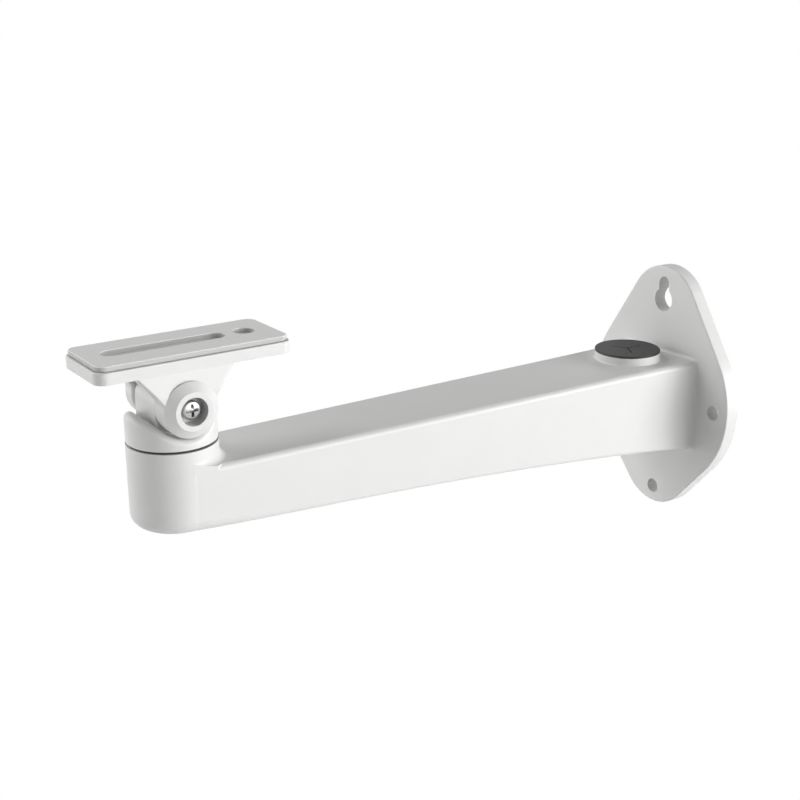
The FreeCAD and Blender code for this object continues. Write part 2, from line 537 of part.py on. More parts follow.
def flange_outline(body):
    """The flange: a wide round middle with a lobe above and one below, joined by straight edges."""
    sketch = make_sketch(body, "FlangeOutline", "XZ_Plane")
    aliases = ("flange_radius", "top_lobe_height", "top_lobe_radius", "bottom_lobe_depth",
               "bottom_lobe_radius")
    big, up, top_r, depth, low_r = [value(f"Sizes.{alias}") for alias in aliases]
    down = -depth

    def arc(height, radius, start, end):
        return sketch.addGeometry(Part.ArcOfCircle(Part.Circle(V(0, height, 0), UP, radius), start, end))

    high = math.asin((big - top_r) / up)
    low = math.asin((big - low_r) / depth)
    right = arc(0, big, -low, high)
    top = arc(up, top_r, high, math.pi - high)
    left = arc(0, big, math.pi - high, math.pi + low)
    bottom = arc(down, low_r, math.pi + low, 2 * math.pi - low)
    loop = [right, top, left, bottom]
    shapes = [sketch.Geometry[index] for index in loop]
    for number in range(4):
        here = loop[number]
        there = loop[(number + 1) % 4]
        start = shapes[number].EndPoint
        end = shapes[(number + 1) % 4].StartPoint
        line = sketch.addGeometry(Part.LineSegment(start, end))
        sketch.addConstraint(Sketcher.Constraint("Tangent", here, 2, line, 1))
        sketch.addConstraint(Sketcher.Constraint("Tangent", line, 2, there, 1))
    sketch.addConstraint(Sketcher.Constraint("Coincident", right, 3, -1, 1))
    sketch.addConstraint(Sketcher.Constraint("Coincident", left, 3, -1, 1))
    sketch.addConstraint(Sketcher.Constraint("Equal", right, left))
    place(sketch, "top", top, 3, None, "Sizes.top_lobe_height")
    place(sketch, "bottom", bottom, 3, None, "-Sizes.bottom_lobe_depth")
    dimension(sketch, "middle_r", Sketcher.Constraint("Radius", right, big), "Sizes.flange_radius")
    dimension(sketch, "top_r", Sketcher.Constraint("Radius", top, top_r), "Sizes.top_lobe_radius")
    dimension(sketch, "bottom_r", Sketcher.Constraint("Radius", bottom, low_r), "Sizes.bottom_lobe_radius")
    add_pad(body, "Flange", sketch, "Sizes.flange_thickness")
    front = -value(FLANGE_FRONT)
    rim = lambda edge: near(box_of(edge).YMin, front) and near(box_of(edge).YMax, front)
    round_edges(body, "FlangeRim", "Sizes.flange_edge_round", rim)


def cable_plug():
    """Rubber plug of the outlet: a cap, a hollow stem and a snap lip, with three moulded slits on top."""
    body = make_body("cable_plug")
    stem = "(Sizes.outlet_bore_radius - Sizes.seat_clearance)"
    lip = f"({stem} + Sizes.plug_lip)"
    hollow = f"({stem} - Sizes.plug_hollow_wall)"
    cap = "(Sizes.outlet_radius + Sizes.plug_cap_overhang)"
    skin = f"({PLUG_TOP} - Sizes.plug_skin)"
    under = f"({CAVITY_ROOF} - Sizes.seat_clearance)"
    foot = f"({under} - Sizes.plug_lip_height)"
    sketch = make_sketch(body, "PlugProfile", "YZ_Plane", u="-Sizes.outlet_distance")
    outline(sketch, [(None, PLUG_TOP), (cap, PLUG_TOP), (cap, OUTLET_TOP), (stem, OUTLET_TOP), (stem, under),
                     (lip, under), (f"{lip} - Sizes.plug_lip_taper", foot), (hollow, foot), (hollow, skin),
                     (None, skin)])
    add_revolution(body, "Plug", sketch)
    height = value(PLUG_TOP)
    round_edges(body, "PlugRim", "Sizes.plug_rim_round", lambda edge: level(edge, height))
    slit = make_sketch(body, "SlitOutline", "XY_Plane", v="-Sizes.outlet_distance", w=PLUG_TOP)
    box_outline(slit, "(Sizes.plug_slit_width / 2)", None, "Sizes.plug_slit_length")
    cut = cut_pocket(body, "Slit", slit, "Sizes.plug_slit_depth")
    slits = body.newObject("PartDesign::PolarPattern", "Slits")
    slits.Originals = [cut]
    slits.Axis = (slit, ["N_Axis"])
    slits.Angle = 360
    slits.Occurrences = 3
    body.Tip = slits
    doc.recompute()
    return body


def ring(label, radius, bore, thickness, y, z, split=False):
    """A flat or split washer on an upright axis at y, standing on z."""
    body = make_body(label)
    sketch = make_sketch(body, label + "_outline", "XY_Plane")
    circle(sketch, "outer", radius)
    circle(sketch, "inner", bore)
    add_pad(body, label + "_disc", sketch, thickness)
    if split:
        gap = make_sketch(body, label + "_gap", "XY_Plane", w=thickness)
        box_outline(gap, "(Sizes.spring_gap / 2)", None, f"({radius} + Sizes.overcut)")
        cut_pocket(body, label + "_split", gap, thickness)
    body.setExpression("Placement.Base.y", f"({y}) * 1 mm")
    body.setExpression("Placement.Base.z", f"({z}) * 1 mm")
    return body


def turn_to_tilt_axis(body, x):
    """Lays a part made about its own Z axis on the tilt axis, its foot at x."""
    body.Placement = FreeCAD.Placement(V(0, 0, 0), FreeCAD.Rotation(V(0, 1, 0), 90))
    body.setExpression("Placement.Base.x", f"({x}) * 1 mm")
    body.setExpression("Placement.Base.y", "-Sizes.reach * 1 mm")
    body.setExpression("Placement.Base.z", f"{TILT_HEIGHT} * 1 mm")


def swivel_base():
    """Base that turns on the boss: a drum with a saddle across it, and the tongue that the ears clamp."""
    body = make_body("swivel_base")
    drum = make_sketch(body, "DrumOutline", "XY_Plane", v="-Sizes.reach", w=BASE_FLOOR)
    circle(drum, "drum", "Sizes.base_radius")
    add_pad(body, "Drum", drum, f"{TILT_HEIGHT} - {BASE_FLOOR}")
    saddle = make_sketch(body, "SaddleProfile", "YZ_Plane", u="-Sizes.reach", v=TILT_HEIGHT)
    saddle_profile(saddle)
    cut_pocket(body, "Saddle", saddle, THROUGH, middle=True)
    floor = value(BASE_FLOOR)
    horn = lambda edge: box_of(edge).ZMin > floor + 1 and on_drum(edge)
    round_edges(body, "HornRim", "Sizes.horn_round", horn)
    tongue = make_sketch(body, "TongueProfile", "YZ_Plane", u="-Sizes.reach", v=TILT_HEIGHT)
    tongue_profile(tongue)
    add_pad(body, "Tongue", tongue, "2 * Sizes.tongue_half_width", middle=True)
    side = value("Sizes.tongue_half_width")
    crown = value(TILT_HEIGHT)
    cheek = lambda edge: on_side(edge, side) and box_of(edge).ZMax > crown - 0.1
    round_edges(body, "TongueEdges", "Sizes.tongue_round", cheek)
    thread = make_sketch(body, "ThreadOutline", "XY_Plane", v="-Sizes.reach", w=BASE_FLOOR)
    circle(thread, "thread", "Sizes.pan_bolt_radius + Sizes.thread_clearance")
    cut_pocket(body, "Thread", thread, f"{PAN_GRIP} + Sizes.thread_runout", upwards=True)
    cross = make_sketch(body, "TiltHoleOutline", "YZ_Plane", u="-Sizes.reach", v=TILT_HEIGHT)
    circle(cross, "hole", "Sizes.tilt_screw_radius + Sizes.running_clearance")
    cut_pocket(body, "TiltHole", cross, THROUGH, middle=True)
    return body


def on_side(edge, x):
    """Whether an edge lies in one of the two planes at x and -x."""
    return near(abs(box_of(edge).Center.x), x) and box_of(edge).XLength < 0.01


def on_drum(edge):
    """Edges that lie on the drum's outside and aren't upright."""
    radius = value("Sizes.base_radius")
    for share in (0.1, 0.5, 0.9):
        spot = edge.valueAt(edge.FirstParameter + share * (edge.LastParameter - edge.FirstParameter))
        if not near(math.hypot(spot.x, spot.y + value("Sizes.reach")), radius, 0.05):
            return False
    return box_of(edge).XLength + box_of(edge).YLength > 0.5


def saddle_profile(sketch):
    """Round-bottomed V about the tilt axis, open at the top."""
    angle = math.radians(value("Sizes.saddle_angle"))
    edge_of_cut = "Sizes.base_radius + Sizes.overcut"
    crest = "4 * Sizes.overcut"
    r, far, top = [value(text) for text in (SADDLE_RADIUS, edge_of_cut, crest)]
    side = V(r * math.sin(angle), -r * math.cos(angle), 0)
    rise = side.y + (far - side.x) * math.tan(angle)
    round_part = Part.Circle(V(0, 0, 0), UP, r)
    start = -math.pi / 2 - angle
    arc = sketch.addGeometry(Part.ArcOfCircle(round_part, start, start + 2 * angle))
    spots = [side, V(far, rise, 0), V(far, top, 0), V(-far, top, 0), V(-far, rise, 0), V(-side.x, side.y, 0)]
    lines = [sketch.addGeometry(Part.LineSegment(a, b)) for a, b in zip(spots, spots[1:])]
    right, wall_right, roof, wall_left, left = lines
    sketch.addConstraint(Sketcher.Constraint("Coincident", arc, 3, -1, 1))
    sketch.addConstraint(Sketcher.Constraint("Tangent", arc, 2, right, 1))
    sketch.addConstraint(Sketcher.Constraint("Tangent", left, 2, arc, 1))
    for here, there in ((right, wall_right), (wall_right, roof), (roof, wall_left), (wall_left, left)):
        sketch.addConstraint(Sketcher.Constraint("Coincident", here, 2, there, 1))
    for line, kind in ((wall_right, "Vertical"), (roof, "Horizontal"), (wall_left, "Vertical")):
        sketch.addConstraint(Sketcher.Constraint(kind, line))
    sketch.addConstraint(Sketcher.Constraint("Symmetric", right, 2, left, 1, -2))
    dimension(sketch, "r", Sketcher.Constraint("Radius", arc, r), SADDLE_RADIUS)
    dimension(sketch, "flank", Sketcher.Constraint("Angle", right, angle), "Sizes.saddle_angle", unit="deg")
    dimension(sketch, "far", Sketcher.Constraint("DistanceX", -1, 1, right, 2, far), edge_of_cut)
    dimension(sketch, "top", Sketcher.Constraint("DistanceY", -1, 1, roof, 1, top), crest)


def tongue_profile(sketch):
    """Upright lug with a round top about the tilt axis, rooted in the drum."""
    root = f"{BASE_FLOOR} - {TILT_HEIGHT} + Sizes.tongue_root"
    r = value("Sizes.tongue_radius")
    low = value(root)
    top = sketch.addGeometry(Part.ArcOfCircle(Part.Circle(V(0, 0, 0), UP, r), 0, math.pi))
    left = sketch.addGeometry(Part.LineSegment(V(-r, 0, 0), V(-r, low, 0)))
    floor = sketch.addGeometry(Part.LineSegment(V(-r, low, 0), V(r, low, 0)))
    right = sketch.addGeometry(Part.LineSegment(V(r, low, 0), V(r, 0, 0)))
    sketch.addConstraint(Sketcher.Constraint("Coincident", top, 3, -1, 1))
    sketch.addConstraint(Sketcher.Constraint("Tangent", top, 2, left, 1))
    sketch.addConstraint(Sketcher.Constraint("Coincident", left, 2, floor, 1))
    sketch.addConstraint(Sketcher.Constraint("Coincident", floor, 2, right, 1))
    sketch.addConstraint(Sketcher.Constraint("Tangent", right, 2, top, 1))
    sketch.addConstraint(Sketcher.Constraint("Vertical", left))
    sketch.addConstraint(Sketcher.Constraint("Horizontal", floor))
    dimension(sketch, "r", Sketcher.Constraint("Radius", top, r), "Sizes.tongue_radius")
    dimension(sketch, "root", Sketcher.Constraint("DistanceY", -1, 1, floor, 1, low), root)


def camera_plate():
    """Plate, neck and two ears in one casting. The near ear is thicker and carries a round hub."""
    body = make_body("camera_plate")
    half_width = "Sizes.plate_width / 2"
    cheek = make_sketch(body, "CheekProfile", "YZ_Plane", u="-Sizes.reach", v=TILT_HEIGHT,
                        w=f"-{half_width}")
    cheek_profile(cheek)
    add_pad(body, "Cheeks", cheek, f"{half_width} + Sizes.hub_shoulder")
    slope = make_sketch(body, "NeckSlopeOutline", "XZ_Plane", w="Sizes.reach")
    start = f"{TILT_HEIGHT} + Sizes.neck_slope_start"
    beyond = "Sizes.hub_shoulder + Sizes.overcut"
    outline(slope, [(half_width, PLATE_TOP), (half_width, PLATE_FOOT), ("Sizes.hub_shoulder", start),
                    (beyond, start), (beyond, PLATE_TOP)])
    cut_pocket(body, "NeckSlope", slope, "2 * Sizes.plate_length", middle=True)
    round_edges(body, "CheekEdges", "Sizes.ear_round", outside_of_cheeks)
    gap = make_sketch(body, "GapOutline", "XY_Plane", v="-Sizes.reach", w=PLATE_FOOT)
    box_outline(gap, EAR_INSIDE, "-Sizes.plate_length / 2", "Sizes.plate_length / 2")
    cut_pocket(body, "Gap", gap, PLATE_FOOT)
    inside = value(EAR_INSIDE)
    plate_foot = value(PLATE_FOOT)
    inner = lambda edge: on_side(edge, inside) and not near(box_of(edge).ZMin, plate_foot)
    round_edges(body, "InnerEdges", "Sizes.ear_inner_round", inner)
    hub = make_sketch(body, "HubProfile", "XZ_Plane", v=TILT_HEIGHT, w="Sizes.reach")
    root = f"{half_width} - Sizes.root_overlap"
    outline(hub, [(root, None), ("Sizes.hub_face", None), ("Sizes.hub_face", "Sizes.hub_face_radius"),
                  ("Sizes.hub_shoulder", "Sizes.ear_radius"), (root, "Sizes.ear_radius")])
    add_revolution(body, "Hub", hub, "H_Axis")
    plate = make_sketch(body, "PlateOutline", "XY_Plane", v="Sizes.plate_shift - Sizes.reach", w=PLATE_FOOT)
    plate_outline(plate, "0", "Sizes.plate_corner")
    add_pad(body, "Plate", plate, "Sizes.plate_thickness")
    top = value(PLATE_TOP)
    round_edges(body, "PlateEdges", "Sizes.plate_edge_round", lambda edge: level(edge, top))
    camera_openings(body, PLATE_TOP, "Sizes.plate_thickness")
    near_recess = make_sketch(body, "RecessOutline", "YZ_Plane", u="-Sizes.reach", v=TILT_HEIGHT,
                              w="Sizes.hub_face")
    circle(near_recess, "recess", "Sizes.recess_radius")
    cut_pocket(body, "Recess", near_recess, "Sizes.hub_face - Sizes.recess_floor")
    far_recess = make_sketch(body, "NutPocketOutline", "YZ_Plane", u="-Sizes.reach", v=TILT_HEIGHT,
                             w=f"-{half_width}")
    hexagon(far_recess, "Sizes.tilt_nut_flats + 2 * Sizes.tilt_nut_fit")
    cut_pocket(body, "NutPocket", far_recess, f"{half_width} - Sizes.nut_floor", upwards=True)
    hole = make_sketch(body, "EarHoleOutline", "YZ_Plane", u="-Sizes.reach", v=TILT_HEIGHT)
    circle(hole, "hole", "Sizes.tilt_screw_radius + Sizes.seat_clearance")
    cut_pocket(body, "EarHoles", hole, THROUGH, middle=True)
    return body


def outside_of_cheeks(edge):
    """Outer edges of the neck and ears, apart from those under the plate and the creases across the neck."""
    box = box_of(edge)
    side = value("Sizes.plate_width / 2")
    far = near(box.XMin, -side) and near(box.XMax, -side)
    roof = value(f"{PLATE_FOOT} + Sizes.plate_thickness / 2")
    crease = box.ZLength < 0.01
    return (far or box.XMin > side - 0.02) and not crease and not near(box.ZMin, roof)


def cheek_profile(sketch):
    """Side view of an ear and the neck: a round end, two hollows and two flanks up into the plate."""
    angle = math.radians(value("Sizes.neck_angle"))
    crest_height = "Sizes.plate_rise + Sizes.plate_thickness / 2"
    r, away, bend = [value(f"Sizes.{alias}") for alias in ("ear_radius", "neck_distance", "neck_fillet")]
    top = value(crest_height)
    normal = V(math.sin(angle), -math.cos(angle), 0)
    along = V(math.cos(angle), math.sin(angle), 0)
    reach = math.sqrt((r + bend) ** 2 - (away + bend) ** 2)
    centre = normal * (away + bend) + along * reach
    on_ear = centre * (r / (r + bend))
    on_flank = centre - normal * bend
    crest = on_flank + along * ((top - on_flank.y) / along.y)
    turn = math.atan2(on_ear.y, on_ear.x)

    def mirrored(spot):
        return V(-spot.x, spot.y, 0)

    def arc_between(middle, radius, start, end):
        """The shorter arc from start to end, and whether it runs from start."""
        a = math.atan2(start.y - middle.y, start.x - middle.x)
        b = math.atan2(end.y - middle.y, end.x - middle.x)
        full = Part.Circle(middle, UP, radius)
        if (b - a) % (2 * math.pi) < math.pi:
            return sketch.addGeometry(Part.ArcOfCircle(full, a, b)), True
        return sketch.addGeometry(Part.ArcOfCircle(full, b, a)), False

    ear_circle = Part.Circle(V(0, 0, 0), UP, r)
    ear = sketch.addGeometry(Part.ArcOfCircle(ear_circle, math.pi - turn, 2 * math.pi + turn))
    hollow_right, right_forward = arc_between(centre, bend, on_ear, on_flank)
    far_side = [mirrored(spot) for spot in (centre, on_ear, on_flank)]
    hollow_left, left_forward = arc_between(far_side[0], bend, far_side[1], far_side[2])
    flank_right = sketch.addGeometry(Part.LineSegment(on_flank, crest))
    flank_left = sketch.addGeometry(Part.LineSegment(mirrored(on_flank), mirrored(crest)))
    roof = sketch.addGeometry(Part.LineSegment(crest, mirrored(crest)))
    ends = {True: (1, 2), False: (2, 1)}
    sketch.addConstraint(Sketcher.Constraint("Coincident", ear, 3, -1, 1))
    sketch.addConstraint(Sketcher.Constraint("Tangent", ear, 2, hollow_right, ends[right_forward][0]))
    right_end = ends[right_forward][1]
    sketch.addConstraint(Sketcher.Constraint("Tangent", hollow_right, right_end, flank_right, 1))
    sketch.addConstraint(Sketcher.Constraint("Tangent", ear, 1, hollow_left, ends[left_forward][0]))
    sketch.addConstraint(Sketcher.Constraint("Tangent", hollow_left, ends[left_forward][1], flank_left, 1))
    sketch.addConstraint(Sketcher.Constraint("Coincident", flank_right, 2, roof, 1))
    sketch.addConstraint(Sketcher.Constraint("Coincident", flank_left, 2, roof, 2))
    sketch.addConstraint(Sketcher.Constraint("Equal", hollow_right, hollow_left))
    sketch.addConstraint(Sketcher.Constraint("Symmetric", flank_right, 2, flank_left, 2, -2))
    sketch.addConstraint(Sketcher.Constraint("Horizontal", flank_right, 1, flank_left, 1))
    dimension(sketch, "ear_r", Sketcher.Constraint("Radius", ear, r), "Sizes.ear_radius")
    dimension(sketch, "hollow_r", Sketcher.Constraint("Radius", hollow_right, bend), "Sizes.neck_fillet")
    slope = Sketcher.Constraint("Angle", flank_right, angle)
    dimension(sketch, "flank", slope, "Sizes.neck_angle", unit="deg")
    offset = Sketcher.Constraint("Distance", -1, 1, flank_right, away)
    dimension(sketch, "away", offset, "Sizes.neck_distance")
    dimension(sketch, "crest", Sketcher.Constraint("DistanceY", -1, 1, flank_right, 2, top), crest_height)


def plate_outline(sketch, inset, corner):
    """Rounded outline of the camera plate, or of the pad inside it."""
    half = f"Sizes.plate_length / 2 - ({inset})"
    rounded_rectangle(sketch, f"Sizes.plate_width / 2 - ({inset})", f"-({half})", half, corner, corner)


def camera_openings(body, top, depth):
    """Slot and round hole for the camera's screw and pin, cut down from top."""
    slot = make_sketch(body, "SlotOutline", "XY_Plane", v="-Sizes.reach", w=top)
    obround(slot, "-Sizes.slot_front", "Sizes.slot_back", "Sizes.slot_radius")
    cut_pocket(body, "Slot", slot, f"{depth} + Sizes.overcut")
    hole = make_sketch(body, "PinHoleOutline", "XY_Plane", v="-Sizes.reach", w=top)
    circle(hole, "hole", "Sizes.pin_hole_radius", y="Sizes.pin_hole_distance")
    cut_pocket(body, "PinHole", hole, f"{depth} + Sizes.overcut")


def plate_pad():
    """Non-slip pad on the camera plate, standing on a foot that is set in from its edge."""
    body = make_body("plate_pad")
    inset = "Sizes.pad_inset + Sizes.pad_foot_inset"
    shift = "Sizes.plate_shift - Sizes.reach"
    foot = make_sketch(body, "PadFootOutline", "XY_Plane", v=shift, w=PLATE_TOP)
    plate_outline(foot, inset, f"Sizes.plate_corner - ({inset})")
    add_pad(body, "PadFoot", foot, "Sizes.pad_foot")
    upper = make_sketch(body, "PadOutline", "XY_Plane", v=shift, w=f"{PLATE_TOP} + Sizes.pad_foot")
    plate_outline(upper, "Sizes.pad_inset", "Sizes.plate_corner - Sizes.pad_inset")
    add_pad(body, "Pad", upper, "Sizes.pad_thickness - Sizes.pad_foot")
    top = value(PAD_TOP)
    round_edges(body, "PadRim", "Sizes.pad_edge_round", lambda edge: level(edge, top))
    camera_openings(body, PAD_TOP, "Sizes.pad_thickness")
    return body


def pan_bolt():
    """Hexagon bolt that holds the base down on the boss."""
    body = make_body("pan_bolt")
    head = make_sketch(body, "PanHeadOutline", "XY_Plane")
    hexagon(head, "Sizes.pan_bolt_head_flats")
    add_pad(body, "PanHead", head, "Sizes.pan_bolt_head_height")
    shank = make_sketch(body, "PanShankOutline", "XY_Plane", w="Sizes.pan_bolt_head_height")
    circle(shank, "shank", "Sizes.pan_bolt_radius")
    washers = "(Sizes.pan_spring_thickness + Sizes.pan_washer_thickness)"
    clamped = f"{washers} + Sizes.deck_thickness + Sizes.washer_thickness"
    add_pad(body, "PanShank", shank, f"{clamped} + {PAN_GRIP}")
    body.setExpression("Placement.Base.y", "-Sizes.reach * 1 mm")
    foot = f"{DECK_FLOOR} - {washers} - Sizes.pan_bolt_head_height"
    body.setExpression("Placement.Base.z", f"({foot}) * 1 mm")
    return body


def tilt_screw():
    """Cross-recessed pan-head screw through both ears and the tongue, its Z axis out of the near ear."""
    body = make_body("tilt_screw")
    under_head = "(Sizes.recess_floor + Sizes.tilt_washer_thickness + Sizes.tilt_spring_thickness)"
    end = "(Sizes.nut_floor + Sizes.tilt_nut_height + Sizes.tilt_screw_end)"
    shank = make_sketch(body, "TiltShankOutline", "XY_Plane")
    circle(shank, "shank", "Sizes.tilt_screw_radius")
    add_pad(body, "TiltShank", shank, f"{under_head} + {end}")
    head = make_sketch(body, "TiltHeadOutline", "XY_Plane", w=f"{under_head} + {end}")
    circle(head, "head", "Sizes.tilt_head_radius")
    add_pad(body, "TiltHead", head, "Sizes.tilt_head_height")
    crown = body.Shape.BoundBox.ZMax
    round_edges(body, "TiltHeadRim", "Sizes.tilt_head_round", lambda edge: level(edge, crown))
    cross = make_sketch(body, "CrossOutline", "XY_Plane", w=f"{under_head} + {end} + Sizes.tilt_head_height")
    cross.AttachmentOffset = FreeCAD.Placement(V(0, 0, 0), FreeCAD.Rotation(UP, value("Sizes.cross_turn")))
    cross.setExpression("AttachmentOffset.Rotation.Angle", "Sizes.cross_turn * 1 deg")
    cross_outline(cross)
    cut_pocket(body, "Cross", cross, "Sizes.cross_depth")
    turn_to_tilt_axis(body, f"-{end}")
    return body


def cross_outline(sketch):
    """Plus-shaped outline of the driver recess."""
    tip = "(Sizes.cross_span / 2)"
    half = "(Sizes.cross_width / 2)"
    corners = []
    for quarter in range(4):
        for x, y in ((tip, half), (half, half), (half, tip)):
            for _ in range(quarter):
                x, y = f"-1 * {y}", x
            corners.append((x, y))
    outline(sketch, corners)


def tilt_nut():
    """Hexagon nut in the far ear's pocket."""
    body = make_body("tilt_nut")
    start = "-Sizes.nut_floor - Sizes.tilt_nut_height"
    sketch = make_sketch(body, "NutOutline", "YZ_Plane", u="-Sizes.reach", v=TILT_HEIGHT, w=start)
    hexagon(sketch, "Sizes.tilt_nut_flats")
    circle(sketch, "bore", "Sizes.tilt_screw_radius + Sizes.thread_clearance")
    add_pad(body, "Nut", sketch, "Sizes.tilt_nut_height")
    return body


def build_parts():
    """Every separate piece of the bracket."""
    parts = [arm_casting(), cable_plug(), swivel_base(), camera_plate(), plate_pad(), pan_bolt(),
             tilt_screw(), tilt_nut()]
    reach = "-Sizes.reach"
    flat_foot = f"{DECK_FLOOR} - Sizes.pan_washer_thickness"
    spring_foot = f"{flat_foot} - Sizes.pan_spring_thickness"
    parts.append(ring("pan_friction_washer", "Sizes.base_radius - Sizes.washer_set_in", BOLT_BORE,
                      "Sizes.washer_thickness", reach, "Sizes.swivel_height"))
    parts.append(ring("pan_flat_washer", "Sizes.pan_washer_radius", BOLT_BORE,
                      "Sizes.pan_washer_thickness", reach, flat_foot))
    parts.append(ring("pan_spring_washer", "Sizes.pan_spring_radius", BOLT_BORE,
                      "Sizes.pan_spring_thickness", reach, spring_foot, split=True))
    flat = ring("tilt_flat_washer", "Sizes.tilt_washer_radius", SCREW_BORE,
                "Sizes.tilt_washer_thickness", "0", "0")
    turn_to_tilt_axis(flat, "Sizes.recess_floor")
    spring = ring("tilt_spring_washer", "Sizes.tilt_spring_radius", SCREW_BORE,
                  "Sizes.tilt_spring_thickness", "0", "0", split=True)
    turn_to_tilt_axis(spring, "Sizes.recess_floor + Sizes.tilt_washer_thickness")
    return parts + [flat, spring]


def check(parts):
    """Stops where an object failed or a part is no valid single solid."""
    doc.recompute()
    for item in doc.Objects:
        if "Invalid" in item.State or "Error" in item.State:
            raise RuntimeError(f"{item.Name} failed: {item.State}")
    for part in parts:
        shape = part.Shape
        if shape.isNull() or not shape.isValid() or len(shape.Solids) != 1:
            raise RuntimeError(f"{part.Label} isn't one valid solid")


pieces = build_parts()
check(pieces)
os.makedirs("parts", exist_ok=True)
for piece in pieces:
    piece.Shape.exportStep(f"parts/{piece.Label}.step")
    print(f"{piece.Label}: {piece.Shape.Volume / 1000:.2f} cm3")
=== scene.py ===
# %% [markdown]
# # Dressing a camera wall bracket
# The bracket is three white die castings, a black rubber plug, a pad and a few fasteners.
# Its construction comes from a fixed frame of solids, where every piece already has its size and place.
# This lesson gives each surface its finish, remakes the small fasteners with their real threads,
# and lights and frames the whole as in a catalogue picture.
# Blender's lengths are metres. The bracket's sizes are written in mm, and MM turns them into metres where
# they are used. The floor and the lamps are far larger, so theirs are written in metres.

# %% Load the frame
import json
import math

import bpy
from mathutils import Matrix, Vector


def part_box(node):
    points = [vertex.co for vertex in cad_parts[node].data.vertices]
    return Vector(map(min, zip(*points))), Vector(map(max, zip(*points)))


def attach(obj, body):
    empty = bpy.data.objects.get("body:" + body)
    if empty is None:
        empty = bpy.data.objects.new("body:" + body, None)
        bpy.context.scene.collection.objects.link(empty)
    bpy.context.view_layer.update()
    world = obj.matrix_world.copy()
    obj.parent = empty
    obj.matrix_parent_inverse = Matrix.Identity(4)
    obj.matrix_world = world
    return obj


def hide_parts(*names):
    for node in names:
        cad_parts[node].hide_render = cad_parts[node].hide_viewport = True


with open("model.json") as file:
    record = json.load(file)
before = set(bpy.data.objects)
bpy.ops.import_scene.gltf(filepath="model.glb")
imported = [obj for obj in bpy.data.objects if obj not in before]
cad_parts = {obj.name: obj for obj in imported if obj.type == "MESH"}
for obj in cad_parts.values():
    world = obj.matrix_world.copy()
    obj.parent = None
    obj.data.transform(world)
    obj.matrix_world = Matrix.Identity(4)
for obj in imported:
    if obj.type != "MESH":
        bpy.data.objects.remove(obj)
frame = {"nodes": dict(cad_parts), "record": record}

MM = 0.001
scene = bpy.context.scene
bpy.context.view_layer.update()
print("nodes:", ", ".join(sorted(frame["nodes"])))

# %% [markdown]
# ## The camera first
# A picture is judged from where it was taken, so the camera comes before any finish.
# It could be placed by eye, but here it was worked out from known sizes of the bracket: a direction, a
# distance, a slight roll and a focal length. A camera looks down its own -Z, so its three axes go into a
# matrix.

# %% Place the camera
FRAME_PIXELS = 800
SENSOR_MM = 36.0
FOCAL_PIXELS = 1347.0
AZIMUTH, ELEVATION, ROLL = math.radians(55.79), math.radians(18.17), math.radians(-0.17)
TARGET = Vector((-80.16, -118.60, -4.18)) * MM
DISTANCE = 720.4 * MM
NEAREST, FARTHEST = 0.01, 50.0

back = Vector((math.sin(AZIMUTH), -math.cos(AZIMUTH), math.tan(ELEVATION))).normalized()
level = Vector((math.cos(AZIMUTH), math.sin(AZIMUTH), 0.0))
upright = back.cross(level)
right = level * math.cos(ROLL) + upright * math.sin(ROLL)
up = upright * math.cos(ROLL) - level * math.sin(ROLL)
turned = Matrix((right, up, back)).transposed().to_4x4()

lens = bpy.data.cameras.new("catalogue_lens")
lens.sensor_width = SENSOR_MM
lens.lens = FOCAL_PIXELS / FRAME_PIXELS * SENSOR_MM
lens.clip_start, lens.clip_end = NEAREST, FARTHEST
camera = bpy.data.objects.new("catalogue_camera", lens)
camera.matrix_world = Matrix.Translation(TARGET + back * DISTANCE) @ turned
scene.collection.objects.link(camera)
scene.camera = camera
print(f"camera: {lens.lens:.1f} mm lens at {[round(v, 3) for v in camera.location]}")

# %% [markdown]
# ## Helpers for materials
# A colour picked on a screen is sRGB, while a shader works with linear light, so one function converts it.
# Another adds a node, sets its options and fills its sockets with a value or a link. Every finish here
# starts from the piece's own coordinates and ends in one shader, so two short functions open and close it.

# %% Colour and node helpers
def linear(hex_colour):
    """The linear RGBA of an sRGB hex colour such as #EDEDEC."""
    parts = [int(hex_colour[i:i + 2], 16) / 255 for i in (1, 3, 5)]
    return tuple(c / 12.92 if c <= 0.04045 else ((c + 0.055) / 1.055) ** 2.4 for c in parts) + (1.0,)


def add(tree, kind, sockets=None, **options):
    """Adds a node. Each socket, by name or number, takes a value or another node's output."""
    node = tree.nodes.new(kind)
    for option, value in options.items():
        setattr(node, option, value)
    for key, value in (sockets or {}).items():
        if isinstance(value, bpy.types.NodeSocket):
            tree.links.new(value, node.inputs[key])
        else:
            node.inputs[key].default_value = value
    return node


def empty_tree(holder):
    """The node tree of a material or a world, with nothing in it."""
    holder.use_nodes = True
    holder.node_tree.nodes.clear()
    return holder.node_tree


def start_finish(name):
    """A new material, its empty tree, and the object coordinates in that tree."""
    material = bpy.data.materials.new(name)
    tree = empty_tree(material)
    return material, tree, add(tree, "ShaderNodeTexCoord").outputs["Object"]


def end_finish(tree, sockets):
    """Closes a material's tree with a shader that has these sockets."""
    shader = add(tree, "ShaderNodeBsdfPrincipled", sockets)
    add(tree, "ShaderNodeOutputMaterial", {"Surface": shader.outputs["BSDF"]})


print("a pale grey, #D9D9D8, in linear light:", [round(c, 3) for c in linear("#D9D9D8")])

# %% [markdown]
# ## White powder coat
# The castings are sprayed with polyester powder and baked, which leaves a satin film with a faint orange
# peel. An image of a coated panel could be wrapped round them, but noise in object coordinates needs no
# wrapping and keeps its size in millimetres on every face. Two bumps are stacked: the peel, and the
# powder's finer grain.

# %% Powder coat material
# A Mix node has sockets for several types under the same names, so its colour sockets go by number.
COLOUR_A, COLOUR_B, COLOUR_OUT = 6, 7, 2


